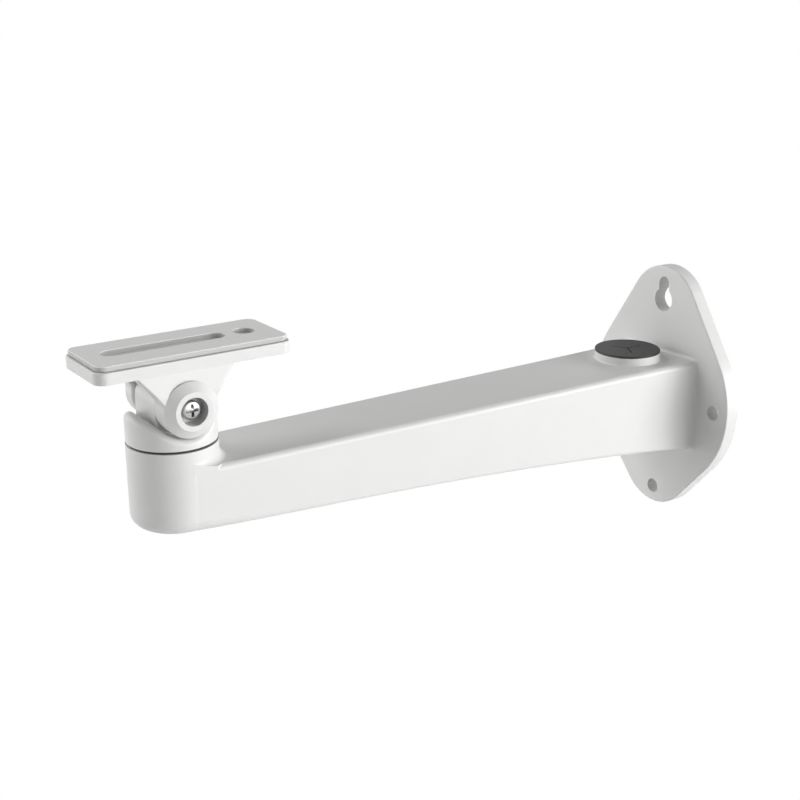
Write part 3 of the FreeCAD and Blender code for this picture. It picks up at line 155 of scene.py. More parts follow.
def bump_of_noise(tree, place, grain_mm, strength, depth_mm, below=None):
    """A bump from noise whose grain is a real size. below is a bump that it is laid over."""
    noise = add(tree, "ShaderNodeTexNoise",
                {"Vector": place, "Scale": 1.0 / (grain_mm * MM), "Detail": 2.0, "Roughness": 0.55})
    sockets = {"Height": noise.outputs["Fac"], "Strength": strength, "Distance": depth_mm * MM}
    if below is not None:
        sockets["Normal"] = below
    return add(tree, "ShaderNodeBump", sockets).outputs["Normal"]


def tinted_by_noise(tree, place, patch_mm, light, dark):
    """A colour that drifts between two close tones over patches of a real size."""
    noise = add(tree, "ShaderNodeTexNoise",
                {"Vector": place, "Scale": 1.0 / (patch_mm * MM), "Detail": 3.0})
    tones = {"Factor": noise.outputs["Fac"], COLOUR_A: linear(dark), COLOUR_B: linear(light)}
    return add(tree, "ShaderNodeMix", tones, data_type="RGBA").outputs[COLOUR_OUT]


def powder_coat():
    """Baked polyester powder on a die casting: satin, with a faint orange peel."""
    material, tree, place = start_finish("powder_coated_casting")
    peel = bump_of_noise(tree, place, 1.6, 0.10, 0.02)
    end_finish(tree, {
        "Base Color": tinted_by_noise(tree, place, 22.0, "#DBDBDA", "#D7D7D6"),
        "Roughness": 0.42, "IOR": 1.5,
        "Normal": bump_of_noise(tree, place, 0.35, 0.06, 0.01, below=peel),
    })
    return material


coat = powder_coat()
print("made", coat.name)

# %% [markdown]
# ## Rubber, pad, washer and plating
# The plug is moulded EPDM rubber: nearly black, with a soft sheen and a fine grain like talc.
# The pad is cut from light grey silicone sheet. Its skin is matt and pale, and every cut edge, round the
# outside and in the slot, is painted a darker grey as painted shade along its sides and down its slot. A
# mask could be painted for that, but height alone tells skin from edge, because the pad lies level.
# The swivel's friction washer is black acetal, and the fasteners are zinc-plated steel, a metal with a soft
# gloss.

# %% Rubber and pad
PAD_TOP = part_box("plate_pad")[1][2]
# Between these heights the pad's colour fades from the painted shade of its cut edges to its pale skin.
SKIN_ENDS, EDGE_SHADE_FULL = PAD_TOP - 0.1 * MM, PAD_TOP - 0.5 * MM


def moulded_rubber():
    """EPDM rubber from a mould: dark, with a dull sheen and a fine grain."""
    material, tree, place = start_finish("moulded_rubber")
    end_finish(tree, {
        "Base Color": tinted_by_noise(tree, place, 6.0, "#1B1B1B", "#171717"),
        "Roughness": 0.58, "IOR": 1.50,
        "Normal": bump_of_noise(tree, place, 0.3, 0.15, 0.02),
    })
    return material


def silicone_pad():
    """Silicone sheet: a pale matt skin with its mould's fine grain, and cut edges below its top painted
    darker as shade.
    """
    material, tree, place = start_finish("silicone_pad")
    height = add(tree, "ShaderNodeSeparateXYZ", {0: place}).outputs["Z"]
    unshaded_skin = add(tree, "ShaderNodeMapRange",
                  {"Value": height, "From Min": EDGE_SHADE_FULL, "From Max": SKIN_ENDS}).outputs["Result"]
    skin = tinted_by_noise(tree, place, 9.0, "#F3F3F2", "#EFEFEE")
    # The darker grey of the cut edges is painted shade, not a colour of the silicone.
    tones = {"Factor": unshaded_skin, COLOUR_A: linear("#BEBEBD"), COLOUR_B: skin}
    end_finish(tree, {
        "Base Color": add(tree, "ShaderNodeMix", tones, data_type="RGBA").outputs[COLOUR_OUT],
        "Roughness": 0.62, "IOR": 1.41,
        "Normal": bump_of_noise(tree, place, 0.4, 0.12, 0.02),
    })
    return material


rubber, silicone = moulded_rubber(), silicone_pad()
print(f"made {rubber.name} and {silicone.name}, whose skin lies {PAD_TOP / MM:.1f} mm up")

# %% Washer and plating
def black_acetal():
    """Acetal washer, turned from black rod: smoother than the rubber, with a low gloss."""
    material, tree, place = start_finish("black_acetal")
    end_finish(tree, {
        "Base Color": tinted_by_noise(tree, place, 4.0, "#1E1E1E", "#191919"),
        "Roughness": 0.45, "IOR": 1.48,
        "Normal": bump_of_noise(tree, place, 0.3, 0.1, 0.01),
    })
    return material


def zinc_plate():
    """Zinc-plated steel: a pale metal whose gloss is broken by the crystals of the plating."""
    material, tree, place = start_finish("zinc_plated_steel")
    crystals = add(tree, "ShaderNodeTexNoise", {"Vector": place, "Scale": 1.0 / (0.5 * MM), "Detail": 2.0})
    gloss = add(tree, "ShaderNodeMapRange",
                {"Value": crystals.outputs["Fac"], "To Min": 0.24, "To Max": 0.38})
    end_finish(tree, {
        "Base Color": tinted_by_noise(tree, place, 1.5, "#B9BAB9", "#A6A8A7"),
        "Metallic": 1.0, "Roughness": gloss.outputs["Result"],
        "Normal": bump_of_noise(tree, place, 0.4, 0.05, 0.01),
    })
    return material


acetal, zinc = black_acetal(), zinc_plate()
print("made", acetal.name, "and", zinc.name)

# %% Give the frame's pieces their finish
finish_of = {
    "arm_casting": coat, "swivel_base": coat, "camera_plate": coat,
    "cable_plug": rubber, "plate_pad": silicone, "pan_friction_washer": acetal,
}
for name, piece in frame["nodes"].items():
    piece.data.materials.clear()
    piece.data.materials.append(finish_of.get(name, zinc))
print("finishes given to", len(frame["nodes"]), "pieces")

# %% [markdown]
# ## The arm with tighter fillets
# Where two walls of a casting meet, the molten metal needs a fillet, or the corner would crack as it cools.
# The photo shows small crisp ones at the arm's root and round the foot of the cable collar, while the
# frame's arm has wider ones. The whole casting could be modelled again for that. It is enough to pull the
# skin of each fillet in towards the corner that it rounds: a fillet scaled towards its corner still meets
# both walls smoothly, so the old normals fit it as well.
# In the code, away is a point's distance from the wall, and out is how far it stands outside the outline of
# the collar or of the arm.

# %% Where the fillets are
# Each share is the part of its size that a fillet keeps.
FLANGE_FRONT, ROOT_FILLET, ROOT_SHARE = 7.5, 7.5, 0.28
COLLAR_AWAY, COLLAR_RADIUS, COLLAR_FILLET, COLLAR_SHARE = 31.4, 16.5, 2.4, 0.35
ARM_TOP, TOP_ROUND, LOW_ROUND = 24.0, 2.6, 1.6
# The arm narrows and its underside climbs by these slopes, from these values at the flange.
ROOT_HALF_WIDTH, NARROWING = 26.05, 0.082
ROOT_UNDERSIDE, CLIMB = -23.27, 0.121
# Points on a border count as on the fillet. On slanting walls a fillet ends a little past its radius.
SLACK, PAST_RUN, PAST_RISE = 0.06, 1.2, 0.8


def arm_section(away):
    """Half the arm's width and the height of its underside, near its root."""
    run = away - FLANGE_FRONT
    return ROOT_HALF_WIDTH - NARROWING * run, ROOT_UNDERSIDE + CLIMB * run


def in_collar_fillet(x, away, z):
    """A point of the fillet round the collar's foot, pulled in, or None if the point isn't on it."""
    out = math.hypot(x, away - COLLAR_AWAY) - COLLAR_RADIUS
    rise = z - ARM_TOP
    if not (-SLACK < out < COLLAR_FILLET + SLACK and -SLACK < rise < COLLAR_FILLET + PAST_RISE):
        return None
    narrower = (COLLAR_RADIUS + COLLAR_SHARE * out) / (COLLAR_RADIUS + out)
    return x * narrower, COLLAR_AWAY + (away - COLLAR_AWAY) * narrower, ARM_TOP + COLLAR_SHARE * rise


def in_root_fillet(x, away, z):
    """A point of the fillet between arm and flange, pulled in, or None if the point isn't on it."""
    run = away - FLANGE_FRONT
    on_collar = z > ARM_TOP + SLACK and math.hypot(x, away - COLLAR_AWAY) < COLLAR_RADIUS + SLACK
    if on_collar or not -SLACK < run < ROOT_FILLET + PAST_RUN:
        return None
    corner = TOP_ROUND if z > 0 else LOW_ROUND
    half, low = arm_section(away)
    inner_x = max(corner - half, min(half - corner, x))
    inner_z = max(low + corner, min(ARM_TOP - corner, z))
    distance = math.hypot(x - inner_x, z - inner_z)
    out = distance - corner
    if not -SLACK < out < ROOT_FILLET + PAST_RISE:
        return None
    new_away = FLANGE_FRONT + ROOT_SHARE * run
    new_half, new_low = arm_section(new_away)
    stretch = (corner + ROOT_SHARE * max(out, 0.0)) / distance
    new_x = inner_x + (x - inner_x) * stretch
    if abs(x) > abs(inner_x):
        new_x += math.copysign(new_half - half, x)
    new_z = inner_z + (z - inner_z) * stretch
    if z < inner_z:
        new_z += new_low - low
    return new_x, new_away, new_z


print(f"at its root the arm is {2 * arm_section(FLANGE_FRONT)[0]:.1f} mm wide")

# %% [markdown]
# ## A copy of the arm's mesh
# The frame's meshes are loose triangles, which stay as they are, so the change is made on a copy. Blender
# could merge the copy's points, but it stores a corner's normal by the faces around it, so a merge would
# turn the normals. Here the points that share a place are made one by a short function, and each corner
# gets its old normal.

# %% Arm casting
# Triangles that lie within this height of the arm's flat top are shaded as part of it.
LEVEL = 0.12


def joined(mesh):
    """The points in mm, triangles and corner normals of a mesh, with points that share a place made one."""
    number_of, points, faces, normals = {}, [], [], []
    for face in mesh.polygons:
        corners = []
        for vertex in face.vertices:
            spot = tuple(mesh.vertices[vertex].co / MM)
            if spot not in number_of:
                number_of[spot] = len(points)
                points.append(spot)
            corners.append(number_of[spot])
        if len(set(corners)) == 3:
            faces.append(corners)
            normals += [tuple(mesh.corner_normals[corner].vector) for corner in face.loop_indices]
    return points, faces, normals


def new_object(name, points, faces):
    """An object at the origin, whose mesh has these points in metres and these faces."""
    mesh = bpy.data.meshes.new(name)
    mesh.from_pydata(points, [], faces)
    made = bpy.data.objects.new(name, mesh)
    scene.collection.objects.link(made)
    return made


points, faces, normals = joined(frame["nodes"]["arm_casting"].data)
pulled = 0
for number, (x, y, z) in enumerate(points):
    spot = in_collar_fillet(x, -y, z) or in_root_fillet(x, -y, z)
    if spot is not None:
        points[number] = (spot[0], -spot[1], spot[2])
        pulled += 1
for number, face in enumerate(faces):
    if all(abs(points[corner][2] - ARM_TOP) < LEVEL for corner in face):
        normals[3 * number:3 * number + 3] = [(0.0, 0.0, 1.0)] * 3
arm = new_object("arm_casting_piece", [Vector(spot) * MM for spot in points], faces)
arm.data.materials.append(coat)
arm.data.shade_smooth()
arm.data.normals_split_custom_set(normals)
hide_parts("arm_casting")
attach(arm, "arm")
print("arm: points pulled in", pulled, "of", len(points))

# %% [markdown]
# ## Fasteners as turned shapes
# A bolt's head is forged and its thread is rolled, yet every section across its axis can be listed as a ring
# with a radius and a height. On a hexagon the radius changes with the angle. So does the height at which the
# 30-degree chamfer meets the flats, and that alone draws the curved edges seen on every real bolt head.
# Ready-made bolts would come as finished meshes whose sizes can't be read, so the rings are listed here, in
# mm.

# %% Rings to mesh
COLUMNS = 96
# The chamfer of a hexagon starts at a circle whose radius is this share of the width across flats.
FACE_SHARE = 0.475


def hexagon(flats):
    """The radius of a hexagon, as a function of the angle, with a flat at angle 0."""
    return lambda angle: flats / 2 / math.cos((angle + math.pi / 6) % (math.pi / 3) - math.pi / 6)


def chamfered(flats, height, sense):
    """Where a 30-degree chamfer from that height meets the hexagon. sense is 1 upwards and -1 downwards."""
    side = hexagon(flats)
    return lambda angle: height + sense * (side(angle) - FACE_SHARE * flats) * math.tan(math.pi / 6)


def at_angle(size, angle):
    """A size that is a number, or a function of the angle."""
    return size(angle) if callable(size) else size


def turned_mesh(name, rings):
    """A mesh about Z from rings, each (radius, height) in mm, from the bottom up. None leaves a gap."""
    vertices, faces, rows = [], [], []
    for ring in rings:
        if ring is None:
            rows.append(None)
            continue
        radius, height = ring
        around = 1 if radius == 0 else COLUMNS
        rows.append([len(vertices) + column % around for column in range(COLUMNS)])
        for column in range(around):
            angle = 2 * math.pi * column / COLUMNS
            r, z = at_angle(radius, angle), at_angle(height, angle)
            vertices.append((r * math.cos(angle) * MM, r * math.sin(angle) * MM, z * MM))
    for low, high in zip(rows, rows[1:]):
        if low is None or high is None:
            continue
        for column in range(COLUMNS):
            after = (column + 1) % COLUMNS
            corners = (low[column], low[after], high[after], high[column])
            faces.append(tuple(dict.fromkeys(corners)))
    mesh = bpy.data.meshes.new(name)
    mesh.from_pydata(vertices, [], faces)
    return mesh


print("an M8 head is", round(13 / math.cos(math.pi / 6), 2), "mm across its corners")

# %% [markdown]
# ## A thread by geometry nodes
# A rolled thread repeats one profile along a helix, which is what geometry nodes do well: a flat grid is
# rolled up so that its rows climb by one pitch a turn. The rows then follow the crests, and sixteen rows a
# pitch put one row on each corner of the metric profile: crest an eighth of the pitch, root a quarter, and
# flanks that stand at 60 degrees to each other.
# The profile fades out towards the shank, as rolling dies leave it, and a cone chamfers the tip.
# Both ends are welded to the turned rings, because the grid has the same number of columns.

# %% The thread's node tree
ROWS_PER_PITCH = 16
# From the middle of a crest, a flank starts at half an eighth of the pitch and ends at three eighths of it.
FLANK_STARTS, FLANK_ENDS = 1 / 16, 3 / 8
WELD_MM = 0.002
THREAD_FLOATS = ("Pitch", "Radius", "Depth", "Start", "Fade End", "Tip", "Chamfer End", "Tip Radius", "Low")


def thread_tree():
    """Rolls a thread from Start to Tip, joins it to the body and gives both the material."""
    tree = bpy.data.node_groups.new("rolled_thread", "GeometryNodeTree")
    tree.interface.new_socket("Body", in_out="INPUT", socket_type="NodeSocketGeometry")
    for name in THREAD_FLOATS:
        tree.interface.new_socket(name, in_out="INPUT", socket_type="NodeSocketFloat")
    tree.interface.new_socket("Rows", in_out="INPUT", socket_type="NodeSocketInt")
    tree.interface.new_socket("Material", in_out="INPUT", socket_type="NodeSocketMaterial")
    tree.interface.new_socket("Geometry", in_out="OUTPUT", socket_type="NodeSocketGeometry")
    given = add(tree, "NodeGroupInput").outputs

    # The flat grid runs from -0.5 to 0.5 both ways: X goes round the screw and Y along it.
    grid = add(tree, "GeometryNodeMeshGrid", {"Vertices X": COLUMNS + 1, "Vertices Y": given["Rows"]})
    flat = add(tree, "ShaderNodeSeparateXYZ", {0: add(tree, "GeometryNodeInputPosition").outputs[0]})
    turn = add(tree, "ShaderNodeMath", {0: flat.outputs["X"], 1: 0.5})
    angle = add(tree, "ShaderNodeMath", {0: turn.outputs[0], 1: 2 * math.pi}, operation="MULTIPLY")
    gaps = add(tree, "ShaderNodeMath", {0: given["Rows"], 1: 1.0}, operation="SUBTRACT")
    share = add(tree, "ShaderNodeMath", {0: flat.outputs["Y"], 1: 0.5})
    row = add(tree, "ShaderNodeMath", {0: share.outputs[0], 1: gaps.outputs[0]}, operation="MULTIPLY")
    pitches = add(tree, "ShaderNodeMath", {0: row.outputs[0], 1: ROWS_PER_PITCH}, operation="DIVIDE")

    # Height: one pitch more for each turn and for every sixteen rows, cut off at both ends.
    climbed = add(tree, "ShaderNodeMath", {0: pitches.outputs[0], 1: turn.outputs[0]})
    from_low = add(tree, "ShaderNodeMath", {0: climbed.outputs[0], 1: 1.0}, operation="SUBTRACT")
    helix = add(tree, "ShaderNodeMath", {0: from_low.outputs[0], 1: given["Pitch"], 2: given["Low"]},
                operation="MULTIPLY_ADD")
    height = add(tree, "ShaderNodeClamp", {0: helix.outputs[0], 1: given["Start"], 2: given["Tip"]},
                 clamp_type="RANGE").outputs[0]

    # Radius: the metric profile, times the fade, never outside the cone of the tip.
    wave = add(tree, "ShaderNodeMath", {0: pitches.outputs[0], 1: 0.5}, operation="PINGPONG")
    groove = add(tree, "ShaderNodeMapRange",
                 {"Value": wave.outputs[0], "From Min": FLANK_STARTS, "From Max": FLANK_ENDS})
    fade = add(tree, "ShaderNodeMapRange",
               {"Value": height, "From Min": given["Start"], "From Max": given["Fade End"]})
    faded = add(tree, "ShaderNodeMath", {0: groove.outputs[0], 1: fade.outputs[0]}, operation="MULTIPLY")
    cut = add(tree, "ShaderNodeMath", {0: faded.outputs[0], 1: given["Depth"]}, operation="MULTIPLY")
    profile = add(tree, "ShaderNodeMath", {0: given["Radius"], 1: cut.outputs[0]}, operation="SUBTRACT")
    cone = add(tree, "ShaderNodeMapRange",
               {"Value": height, "From Min": given["Tip"], "From Max": given["Chamfer End"],
                "To Min": given["Tip Radius"], "To Max": given["Radius"]})
    radius = add(tree, "ShaderNodeMath", {0: profile.outputs[0], 1: cone.outputs[0]}, operation="MINIMUM")

    cosine = add(tree, "ShaderNodeMath", {0: angle.outputs[0]}, operation="COSINE")
    sine = add(tree, "ShaderNodeMath", {0: angle.outputs[0]}, operation="SINE")
    x = add(tree, "ShaderNodeMath", {0: radius.outputs[0], 1: cosine.outputs[0]}, operation="MULTIPLY")
    y = add(tree, "ShaderNodeMath", {0: radius.outputs[0], 1: sine.outputs[0]}, operation="MULTIPLY")
    spot = add(tree, "ShaderNodeCombineXYZ", {0: x.outputs[0], 1: y.outputs[0], 2: height})
    rolled = add(tree, "GeometryNodeSetPosition",
                 {"Geometry": grid.outputs["Mesh"], "Position": spot.outputs[0]})
    both = add(tree, "GeometryNodeJoinGeometry", {"Geometry": given["Body"]})
    tree.links.new(rolled.outputs[0], both.inputs[0])
    welded = add(tree, "GeometryNodeMergeByDistance",
                 {"Geometry": both.outputs[0], "Distance": WELD_MM * MM})
    realised = add(tree, "GeometryNodeRealizeInstances", {0: welded.outputs[0]})
    painted = add(tree, "GeometryNodeSetMaterial",
                  {"Geometry": realised.outputs[0], "Material": given["Material"]})
    add(tree, "NodeGroupOutput", {0: painted.outputs[0]})
    return tree


rolled_thread = thread_tree()
print("thread tree:", len(rolled_thread.nodes), "nodes")

# %% [markdown]
# ## From rings and thread to a piece
# Each fastener is turned; the bolt and the screw are threaded, and the screw is punched with its cross by a
# boolean cut. The result could stay live on its modifiers, but a plain mesh is what other programs can read.
# It is laid on its axis by moving its points, so the object itself stays at the origin, unturned.

# %% Make a fastener
# Depth of a metric thread, as a share of its pitch, and the lengths of its fade and of its tip's chamfer.
THREAD_DEPTH = 0.5413
FADE_PITCHES, CHAMFER_DEPTHS = 1.5, 1.1
SHARP_ANGLE = math.radians(30)


def thread_settings(diameter, pitch, start, tip):
    """Inputs of the thread tree, in metres, for a thread that runs from start to tip along Z."""
    depth = THREAD_DEPTH * pitch
    chamfer = CHAMFER_DEPTHS * depth
    sense = 1 if tip > start else -1
    settings = {
        "Pitch": pitch, "Radius": diameter / 2, "Depth": depth, "Start": start,
        "Fade End": start + sense * FADE_PITCHES * pitch, "Tip": tip, "Chamfer End": tip - sense * chamfer,
        "Tip Radius": diameter / 2 - chamfer, "Low": min(start, tip),
    }
    settings = {name: value * MM for name, value in settings.items()}
    settings["Rows"] = (math.ceil(abs(tip - start) / pitch) + 2) * ROWS_PER_PITCH + 1
    return settings


def fastener(name, body, rings, place, thread=None, punch=None):
    """Makes a fastener that stands for the frame's piece of that name."""
    blank = bpy.data.objects.new(name + "_blank", turned_mesh(name, rings))
    blank.data.materials.append(zinc)
    scene.collection.objects.link(blank)
    if thread is not None:
        rolling = blank.modifiers.new("thread", "NODES")
        rolling.node_group = rolled_thread
        sockets = {item.name: item.identifier for item in rolled_thread.interface.items_tree}
        for key, value in thread.items():
            rolling[sockets[key]] = value
        rolling[sockets["Material"]] = zinc
    if punch is not None:
        punching = blank.modifiers.new("punch", "BOOLEAN")
        punching.operation, punching.solver, punching.object = "DIFFERENCE", "EXACT", punch
    ready = blank.evaluated_get(bpy.context.evaluated_depsgraph_get())
    mesh = bpy.data.meshes.new_from_object(ready)
    blank.modifiers.clear()
    bpy.data.objects.remove(blank)
    mesh.name = name + "_mesh"
    mesh.transform(place)
    mesh.shade_smooth()
    mesh.set_sharp_from_angle(angle=SHARP_ANGLE)
    mesh.materials.clear()
    mesh.materials.append(zinc)
    piece = bpy.data.objects.new(name + "_piece", mesh)
    scene.collection.objects.link(piece)
    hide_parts(name)
    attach(piece, body)
    print(f"{name}: {len(mesh.polygons)} faces")


print(f"an M8 thread is cut {THREAD_DEPTH * 1.25:.2f} mm deep")

# %% [markdown]
# ## The pan bolt
# An M8 hexagon bolt goes up through the boss into the base. Its head is cold forged: a chamfer on its foot,
# and a thin round washer face where it bears. Its thread starts inside the base, above the friction washer.
# It could be placed by typing its axis again, but the frame's joints already say where both axes are.

# %% Pan bolt
joint_at = {joint["name"]: Vector(joint["pos_m"]) for joint in frame["record"]["behaviour"]["joints"]}
PAN_PLACE = Matrix.Translation((joint_at["pan"].x, joint_at["pan"].y, 0.0))
HEAD_FLATS, HEAD_FOOT, HEAD_TOP, WASHER_FACE = 13.0, 14.0, 19.3, 0.4
BOLT_DIAMETER, BOLT_PITCH, BOLT_THREAD, BOLT_TIP = 8.0, 1.25, 30.0, 45.0

bolt_thread = thread_settings(BOLT_DIAMETER, BOLT_PITCH, BOLT_THREAD, BOLT_TIP)
tip_radius = bolt_thread["Tip Radius"] / MM
shank = BOLT_DIAMETER / 2
face = FACE_SHARE * HEAD_FLATS
side = hexagon(HEAD_FLATS)
bolt_rings = [
    (0, HEAD_FOOT), (face, HEAD_FOOT), (side, chamfered(HEAD_FLATS, HEAD_FOOT, 1)),
    (side, HEAD_TOP - WASHER_FACE), (face, HEAD_TOP - WASHER_FACE), (face, HEAD_TOP),
    (shank, HEAD_TOP), (shank, BOLT_THREAD), None, (tip_radius, BOLT_TIP), (0, BOLT_TIP),
]
fastener("pan_bolt", "swivel", bolt_rings, PAN_PLACE, thread=bolt_thread)

# %% [markdown]
# ## The tilt screw and its nut
# A pan-head M4 screw lies along the tilt axis, its head in the near hub's recess, its nut in the far ear's
# pocket. A header punch leaves the cross: four tapering slots that meet in a deeper middle. Its arms end
# short of the rim, and the turn is where the last twist of the driver left it.

# %% Tilt screw
TILT_PLACE = Matrix.Translation(joint_at["tilt"]) @ Matrix.Rotation(math.pi / 2, 4, "Y")
SCREW_DIAMETER, SCREW_PITCH, SCREW_THREAD, SCREW_TIP = 4.0, 0.7, -4.0, -17.6
UNDER_HEAD, CROWN, HEAD_RADIUS = 18.9, 21.5, 4.0
# The head's lower edge is broken, its upper corner is round, and its top is slightly domed.
BROKEN_EDGE, CORNER, DOME = 0.15, 1.1, 0.28
CORNER_STEPS, DOME_STEPS = 8, 6
CROSS_TURN = math.radians(1.5)
# Height, span and width of the punch, from its foot up. It leaves twelve corners at each height.
CROSS_LEVELS = ((CROWN - 2.2, 3.2, 0.95), (CROWN - 0.8, 4.9, 1.15), (CROWN + 0.5, 6.2, 1.35))
CROSS_CORNERS = 12


def pan_head_rings():
    """A low head: a straight side, a round corner and a slight dome."""
    shoulder = CROWN - DOME - CORNER
    flat = HEAD_RADIUS - CORNER
    rings = [(HEAD_RADIUS - BROKEN_EDGE, UNDER_HEAD), (HEAD_RADIUS, UNDER_HEAD + BROKEN_EDGE)]
    for step in range(CORNER_STEPS + 1):
        lean = math.pi / 2 * step / CORNER_STEPS
        rings.append((HEAD_RADIUS - CORNER * (1 - math.cos(lean)), shoulder + CORNER * math.sin(lean)))
    for step in range(1, DOME_STEPS):
        radius = flat * (1 - step / DOME_STEPS)
        rings.append((radius, CROWN - DOME * (radius / flat) ** 2))
    return rings + [(0, CROWN)]


def cross_punch():
    """A tapered punch with the outline of a plus."""
    points, faces = [], []
    for height, span, width in CROSS_LEVELS:
        tip, side = span / 2, width / 2
        for quarter in range(4):
            turn = CROSS_TURN + quarter * math.pi / 2
            cosine, sine = math.cos(turn), math.sin(turn)
            for x, y in ((tip, -side), (tip, side), (side, side)):
                points.append((x * cosine - y * sine, x * sine + y * cosine, height))
    top = (len(CROSS_LEVELS) - 1) * CROSS_CORNERS
    foot, crown = len(points), len(points) + 1
    points += [(0, 0, CROSS_LEVELS[0][0]), (0, 0, CROSS_LEVELS[-1][0])]
    for corner in range(CROSS_CORNERS):
        after = (corner + 1) % CROSS_CORNERS
        for level in range(0, top, CROSS_CORNERS):
            faces.append((level + corner, level + after,
                          level + after + CROSS_CORNERS, level + corner + CROSS_CORNERS))
        faces += [(foot, after, corner), (crown, top + corner, top + after)]
    return new_object("cross_punch", [Vector(spot) * MM for spot in points], faces)


screw_thread = thread_settings(SCREW_DIAMETER, SCREW_PITCH, SCREW_THREAD, SCREW_TIP)
tip_radius = screw_thread["Tip Radius"] / MM
shank = SCREW_DIAMETER / 2
shank_rings = [(0, SCREW_TIP), (tip_radius, SCREW_TIP), None, (shank, SCREW_THREAD), (shank, UNDER_HEAD)]
screw_rings = shank_rings + pan_head_rings()
punch = cross_punch()
fastener("tilt_screw", "plate", screw_rings, TILT_PLACE, thread=screw_thread, punch=punch)
bpy.data.objects.remove(punch)

# %% Tilt nut
NUT_FLATS, NUT_OUTSIDE, NUT_INSIDE, NUT_BORE, COUNTERSINK = 7.0, -17.0, -13.8, 2.02, 0.3
face = FACE_SHARE * NUT_FLATS
side = hexagon(NUT_FLATS)
nut_rings = [
    (NUT_BORE, NUT_OUTSIDE + COUNTERSINK), (NUT_BORE + COUNTERSINK, NUT_OUTSIDE), (face, NUT_OUTSIDE),
    (side, chamfered(NUT_FLATS, NUT_OUTSIDE, 1)), (side, chamfered(NUT_FLATS, NUT_INSIDE, -1)),
    (face, NUT_INSIDE), (NUT_BORE + COUNTERSINK, NUT_INSIDE), (NUT_BORE, NUT_INSIDE - COUNTERSINK),
    (NUT_BORE, NUT_OUTSIDE + COUNTERSINK),
]
corners_up = TILT_PLACE @ Matrix.Rotation(math.pi / 6, 4, "Z")
fastener("tilt_nut", "plate", nut_rings, corners_up)

# %% [markdown]
# ## Floor and background
# The bracket hangs in the air as on a wall, over a pale floor, before plain white.
# A white floor under a strong light would brighten the bracket from below. Light Path avoids that: it lets
# the camera see white, while the light that reaches the object stays at a plain level.

# %% Floor and world
FLOOR_DEPTH, FLOOR_SIZE = 0.42, 30.0
# The floor glows just past white for the camera, and this share of it is that glow.
FLOOR_GLOW, GLOW_SHARE = 1.01, 0.985
AMBIENT = 0.09
WHITE = (1, 1, 1, 1)

half = FLOOR_SIZE / 2
floor_corners = [(x * half, y * half, -FLOOR_DEPTH) for x, y in ((-1, -1), (1, -1), (1, 1), (-1, 1))]
floor = new_object("floor", floor_corners, [(0, 1, 2, 3)])


def seen_directly(tree):
    """1 for a ray from the camera, a mirror or a glass, and 0 for one that only brings light."""
    ray = add(tree, "ShaderNodeLightPath").outputs
    either = add(tree, "ShaderNodeMath", {0: ray["Is Camera Ray"], 1: ray["Is Glossy Ray"]},
                 operation="MAXIMUM")
    any_ray = add(tree, "ShaderNodeMath", {0: either.outputs[0], 1: ray["Is Transmission Ray"]},
                  operation="MAXIMUM")
    return any_ray.outputs[0]


floor_material = bpy.data.materials.new("pale_floor")
tree = empty_tree(floor_material)
matt = add(tree, "ShaderNodeBsdfDiffuse", {"Color": linear("#E6E6E6")})
glow = add(tree, "ShaderNodeEmission", {"Color": WHITE, "Strength": FLOOR_GLOW})
share = add(tree, "ShaderNodeMath", {0: seen_directly(tree), 1: GLOW_SHARE}, operation="MULTIPLY")
blend = add(tree, "ShaderNodeMixShader", {0: share.outputs[0], 1: matt.outputs[0], 2: glow.outputs[0]})
add(tree, "ShaderNodeOutputMaterial", {"Surface": blend.outputs[0]})
floor.data.materials.append(floor_material)

world = bpy.data.worlds.new("white_studio")
scene.world = world
tree = empty_tree(world)
ambient = add(tree, "ShaderNodeBackground", {"Color": WHITE, "Strength": AMBIENT})
backdrop = add(tree, "ShaderNodeBackground", {"Color": WHITE, "Strength": 1.0})
blend = add(tree, "ShaderNodeMixShader",
            {0: seen_directly(tree), 1: ambient.outputs[0], 2: backdrop.outputs[0]})
add(tree, "ShaderNodeOutputWorld", {"Surface": blend.outputs[0]})
print(f"floor {FLOOR_DEPTH} m below, world light {AMBIENT}")

# %% [markdown]
# ## What the wall would keep out
# On a wall no lamp shines through the screw holes from behind, so their walls look grey and not white.
# A wall can't be shown here, because the background is plain. Small discs just inside the back of each hole
# do the same work, unseen by the camera: they stop the light, and give back the little that a pale wall
# would.

# %% Light stops in the flange's holes
# Each hole is its place across, its height and its radius. The keyhole takes three discs.
SCREW_HOLES = ((39.0, 0.0, 3.75), (-39.0, 0.0, 3.75), (0.0, -52.0, 3.75))
KEYHOLE = ((0.0, 51.5, 6.1), (0.0, 58.0, 3.6), (0.0, 60.1, 3.6))
STOP_Y = -0.3
STOP_CORNERS = 24
WALL_GLOW = 0.6

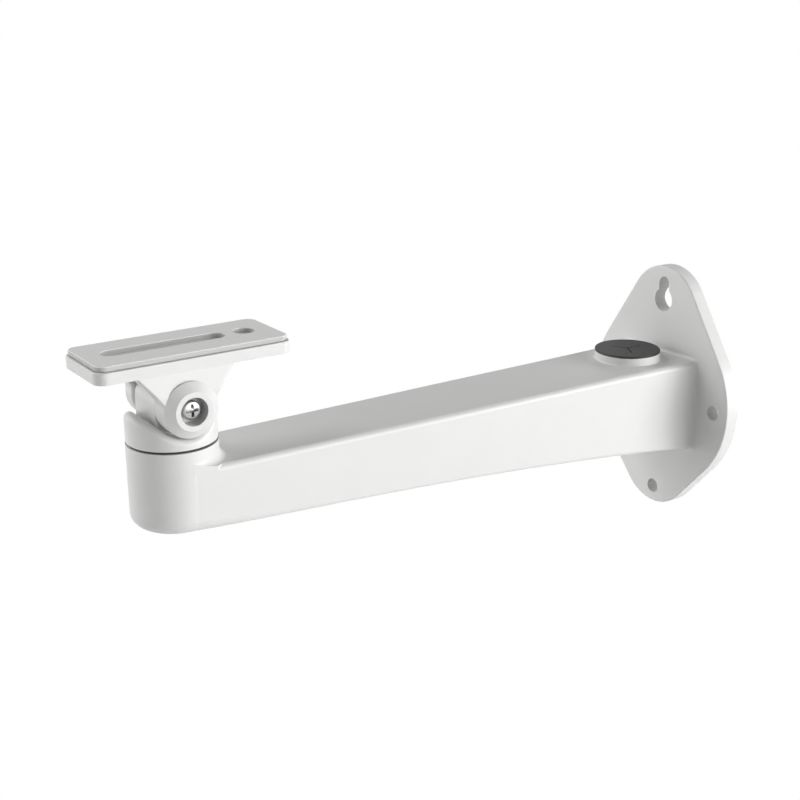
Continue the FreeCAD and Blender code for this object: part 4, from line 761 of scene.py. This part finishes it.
corners, discs = [], []
for hole_x, hole_z, hole_radius in SCREW_HOLES + KEYHOLE:
    discs.append(tuple(range(len(corners), len(corners) + STOP_CORNERS)))
    for corner in range(STOP_CORNERS):
        turn = 2 * math.pi * corner / STOP_CORNERS
        x, z = hole_x + hole_radius * math.cos(turn), hole_z + hole_radius * math.sin(turn)
        corners.append((x * MM, STOP_Y * MM, z * MM))
stops = new_object("light_stops", corners, discs)
stops.visible_camera = False
wall_card = bpy.data.materials.new("wall_card")
tree = empty_tree(wall_card)
glow = add(tree, "ShaderNodeEmission", {"Color": WHITE, "Strength": WALL_GLOW})
add(tree, "ShaderNodeOutputMaterial", {"Surface": glow.outputs[0]})
stops.data.materials.append(wall_card)
print("light stops:", len(discs))

# %% [markdown]
# ## Lamps
# Large soft lamps do the modelling. The strongest stands on the bracket's right, a little behind it, so the
# arm's flank is the brightest face, its root fades towards the flange, and the front of the boss keeps a
# soft shade. A lamp's power means little by itself, so each lamp's strength is given as the brightness of a
# white card that faces it, which doesn't change with distance.

# %% Five lamps
LAMP_AIM = Vector((0.0, -0.15, 0.02))
LAMP_DISTANCE, LAMP_WIDTH = 3.5, 1.9
LAMPS = (
    # name, azimuth and elevation in degrees, brightness of a white card that faces it
    ("flank_lamp", 135.0, 8.0, 0.83),
    ("side_lamp", 105.0, 8.0, 0.39),
    ("front_lamp", -15.0, 8.0, 0.20),
    ("front_left_lamp", -45.0, 8.0, 0.28),
    ("upper_left_lamp", -50.0, 42.0, 0.38),
)


def add_lamp(name, azimuth, elevation, card):
    """A square soft lamp aimed at the bracket. Azimuth 0 is before the boss and 90 on the screw's side."""
    a, e = math.radians(azimuth), math.radians(elevation)
    away = Vector((math.sin(a) * math.cos(e), -math.cos(a) * math.cos(e), math.sin(e)))
    lamp = bpy.data.lights.new(name, "AREA")
    lamp.shape = "SQUARE"
    lamp.size = LAMP_WIDTH
    lamp.energy = card * math.pi * math.pi * LAMP_DISTANCE ** 2
    lamp_object = bpy.data.objects.new(name, lamp)
    lamp_object.location = LAMP_AIM + away * LAMP_DISTANCE
    lamp_object.rotation_euler = away.to_track_quat("Z", "Y").to_euler()
    lamp_object.visible_camera = False
    scene.collection.objects.link(lamp_object)
    return lamp_object


for settings in LAMPS:
    made = add_lamp(*settings)
    print(f"{made.name}: {made.data.energy:.1f} W")

scene.view_settings.view_transform = "Standard"
